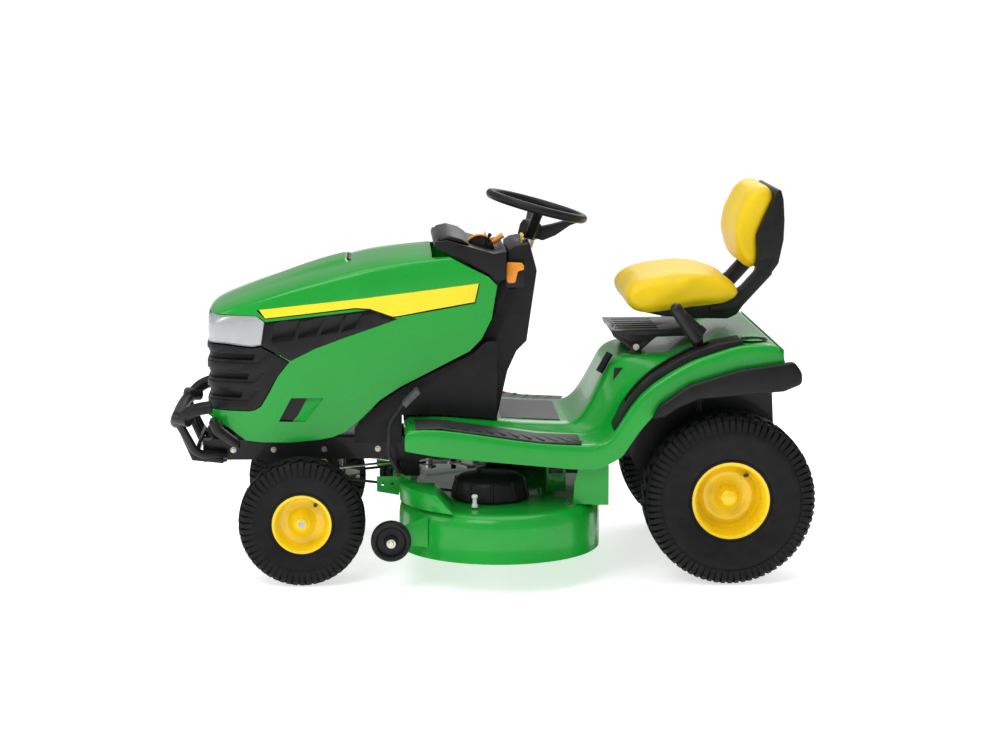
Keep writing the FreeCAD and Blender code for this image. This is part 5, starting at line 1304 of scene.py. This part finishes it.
class MOWER_OT_deck(bpy.types.Operator):
    """Builds the cutting deck with its covers, deflector, gauge wheels and small fittings"""
    bl_idname = "mower.deck"
    bl_label = "Cutting deck"

    def execute(self, context):
        place(deck_stamping(), deck_paint(), "deck", "green_paint")
        fittings = from_node("deck_shell", "deck_fittings", 0)
        inside = prism("deck_inside", deck_loop(297.5, 85)[:-1], (0, 0, 0.1516))
        combine(fittings, inside)
        rounded(fittings, 0.0025, 2, 40)
        place(fittings, deck_paint(), "deck", "green_paint", "deck_shell")
        covers = []
        for label, side in (("left", LEFT), ("right", RIGHT)):
            spot = JOINTS[f"mandrel_{label}_spin"]["pos_m"]
            centre = Vector((spot[0], spot[1], 0))
            cover = lathe_up("cover", [(112, 236.5), (114.5, 236.5), (115, 240), (111, 256), (106, 280), (101, 292),
                                       (92, 298),
                                       (80, 300.5), (0.0, 301)], centre, 72)
            for i in range(10):
                angle = 2 * math.pi * (i + 0.5) / 10
                foot = centre + Vector((math.cos(angle) * 0.1155, math.sin(angle) * 0.1155, 0.240))
                head = centre + Vector((math.cos(angle) * 0.102, math.sin(angle) * 0.102, 0.291))
                covers.append(tube("rib", [foot, head], 0.0055, resolution=2))
            covers.append(smooth(cover, 50))
        place(join(covers, "ribbed_belt_covers"), black_moulding(), "deck", "black_plastic", "belt_covers")
        chute = from_node("discharge_deflector", "side_deflector", 0.0015, 2)
        place(chute, black_moulding(), "deflector", "black_plastic", "discharge_deflector")
        for label, side in (("left", LEFT), ("right", RIGHT)):
            centre = Vector(JOINTS[f"gauge_wheel_{label}_roll"]["pos_m"])
            wheel = lathe(f"gauge_roller_{label}", [(8.2, -15), (17, -15), (20, -6), (38, -6), (43, -20), (52, -22),
                                                    (57, -17),
                                                    (57.8, -8), (57.8, 8), (57, 17), (52, 22), (44, 20), (39, 8),
                                                    (20, 8),
                                                    (17, 17), (8.2, 17)], centre, side, 56)
            place(rounded(wheel, 0.0012, 2, 28), black_moulding(), f"gauge_wheel_{label}", "black_plastic",
                  f"gauge_wheel_{label}")
            head = bolt(f"gauge_bolt_{label}", centre + Vector((0, side * 0.0376, 0)), 0.0095, 0.006, side)
            place(head, zinc_steel(), "deck", "bare_steel")
        port = lathe_up("wash_port", [(0.0, 0), (9, 0), (9, 8), (6, 12), (6, 26), (9, 28), (9, 34), (6, 37),
                                      (0.0, 37)],
                        at(742, 418, 235.5), 24)
        white = finish("white_nylon", (0.8, 0.8, 0.78), 0.35, mottle=(40, 0.05))
        place(smooth(port), white, "deck", "black_plastic")
        carry(bare_steel(), "mandrel_left", "mandrel_right", "blade_left", "blade_right")
        carry(belt_rubber(), "mower_belt")
        return {"FINISHED"}


# ------------------------------------------------------------------ frame and drive

RAIL_BOLTS = (-150, 20, 120, 430, 560, 760, 900, 1020, 1180, 1330, 1450)  # mm along the frame's rails


class MOWER_OT_drive(bpy.types.Operator):
    """Finishes the frame, engine, axles and linkage"""
    bl_idname = "mower.drive"
    bl_label = "Frame and drive"

    def execute(self, context):
        carry(frame_paint(), "chassis_frame", "axle_beam")
        carry(cast_metal(), "engine", "transaxle")
        carry(bare_steel(), "crank_pulleys", "transaxle_pulley", "sector_gear", "pinion_shaft", "steering_shaft",
              "steering_knuckle_left", "steering_knuckle_right")
        carry(zinc_steel(), "tie_rod_left", "tie_rod_right")
        carry(belt_rubber(), "traction_belt")
        carry(black_moulding(), "fuel_tank")
        bolts = []
        for side in (LEFT, RIGHT):
            for x in RAIL_BOLTS:
                bolts.append(bolt("b", at(x, side * 131.5, 356), 0.0065, 0.005, side))
        place(join(bolts, "rail_bolts"), zinc_steel(), "chassis", "frame_paint")
        return {"FINISHED"}


CAMERA_SPOT = (1031, 7514, 1760)  # mm, ahead of the machine's middle and well out to its left
CAMERA_DIP, CAMERA_TURN = 9.10, 2.92  # degrees below level, and off square to the machine's side


class MOWER_OT_stage(bpy.types.Operator):
    """Sets out the floor, the studio lights and the camera"""
    bl_idname = "mower.stage"
    bl_label = "Stage"

    def execute(self, context):
        clear()
        bpy.ops.mesh.primitive_plane_add(size=900, location=(0, 0, 0))
        floor = bpy.context.object
        floor.name = "studio_floor"
        paint = finish("studio_floor_paint", colours().floor_white, 0.7, mottle=(3, 0.01), spec=0.1)
        shader = paint.node_tree.nodes["Principled BSDF"]
        shader.inputs["Emission Color"].default_value = (1, 1, 1, 1)
        shader.inputs["Emission Strength"].default_value = 0.66
        floor.data.materials.append(paint)
        world = bpy.data.worlds.new("studio")
        world.use_nodes = True
        world.node_tree.nodes["Background"].inputs["Color"].default_value = (1, 1, 1, 1)
        world.node_tree.nodes["Background"].inputs["Strength"].default_value = 0.4
        context.scene.world = world
        lights = (("key", (1.8, 3.8, 4.4), (0.1, 0.2, 0.5), 2.6, 95), ("top", (-0.2, 0.0, 4.6), (0, 0, 0.5), 3.6, 85),
                  ("back", (-1.5, -4.2, 3.4), (0, 0, 0.6), 3.0, 60), ("side", (4.6, 1.2, 2.4), (0.4, 0, 0.6), 2.0,
                                                                      30))
        for name, spot, aim, size, power in lights:
            light = bpy.data.lights.new(name, "AREA")
            light.shape = "SQUARE"
            light.size = size
            light.energy = power
            lamp = bpy.data.objects.new(name, light)
            lamp.location = spot
            lamp.rotation_euler = (Vector(aim) - Vector(spot)).to_track_quat("-Z", "Y").to_euler()
            context.scene.collection.objects.link(lamp)
        camera = bpy.data.cameras.new("stage_camera")
        camera.lens = sizes().camera_lens
        camera.sensor_width = 36
        camera.clip_end = 3000
        viewer = bpy.data.objects.new("stage_camera", camera)
        viewer.location = at(*CAMERA_SPOT)
        viewer.rotation_euler = (math.radians(90 - CAMERA_DIP), 0, math.radians(180 - CAMERA_TURN))
        context.scene.collection.objects.link(viewer)
        context.scene.camera = viewer
        context.scene.view_settings.view_transform = "Standard"
        return {"FINISHED"}


class MOWER_PT_panel(bpy.types.Panel):
    """Buttons and settings in the sidebar"""
    bl_idname = "MOWER_PT_panel"
    bl_label = "Riding mower"
    bl_space_type = "VIEW_3D"
    bl_region_type = "UI"
    bl_category = "Mower"

    def draw(self, context):
        for group in (context.scene.mower_sizes, context.scene.mower_colours):
            for name in group.__annotations__:
                self.layout.prop(group, name)
        for step in STEPS:
            self.layout.operator(step.bl_idname)


STEPS = (MOWER_OT_hood, MOWER_OT_nose, MOWER_OT_guard, MOWER_OT_dash, MOWER_OT_steering, MOWER_OT_controls,
         MOWER_OT_fenders, MOWER_OT_seat, MOWER_OT_wheels, MOWER_OT_deck, MOWER_OT_drive, MOWER_OT_stage)
CLASSES = (MowerColours, MowerSizes, *STEPS, MOWER_PT_panel)


def register():
    for part in CLASSES:
        bpy.utils.register_class(part)
    bpy.types.Scene.mower_colours = PointerProperty(type=MowerColours)
    bpy.types.Scene.mower_sizes = PointerProperty(type=MowerSizes)


def unregister():
    del bpy.types.Scene.mower_sizes
    del bpy.types.Scene.mower_colours
    for part in reversed(CLASSES):
        bpy.utils.unregister_class(part)


def main():
    register()
    for step in STEPS:
        group, action = step.bl_idname.split(".")
        getattr(getattr(bpy.ops, group), action)()


if __name__ == "__main__":
    main()
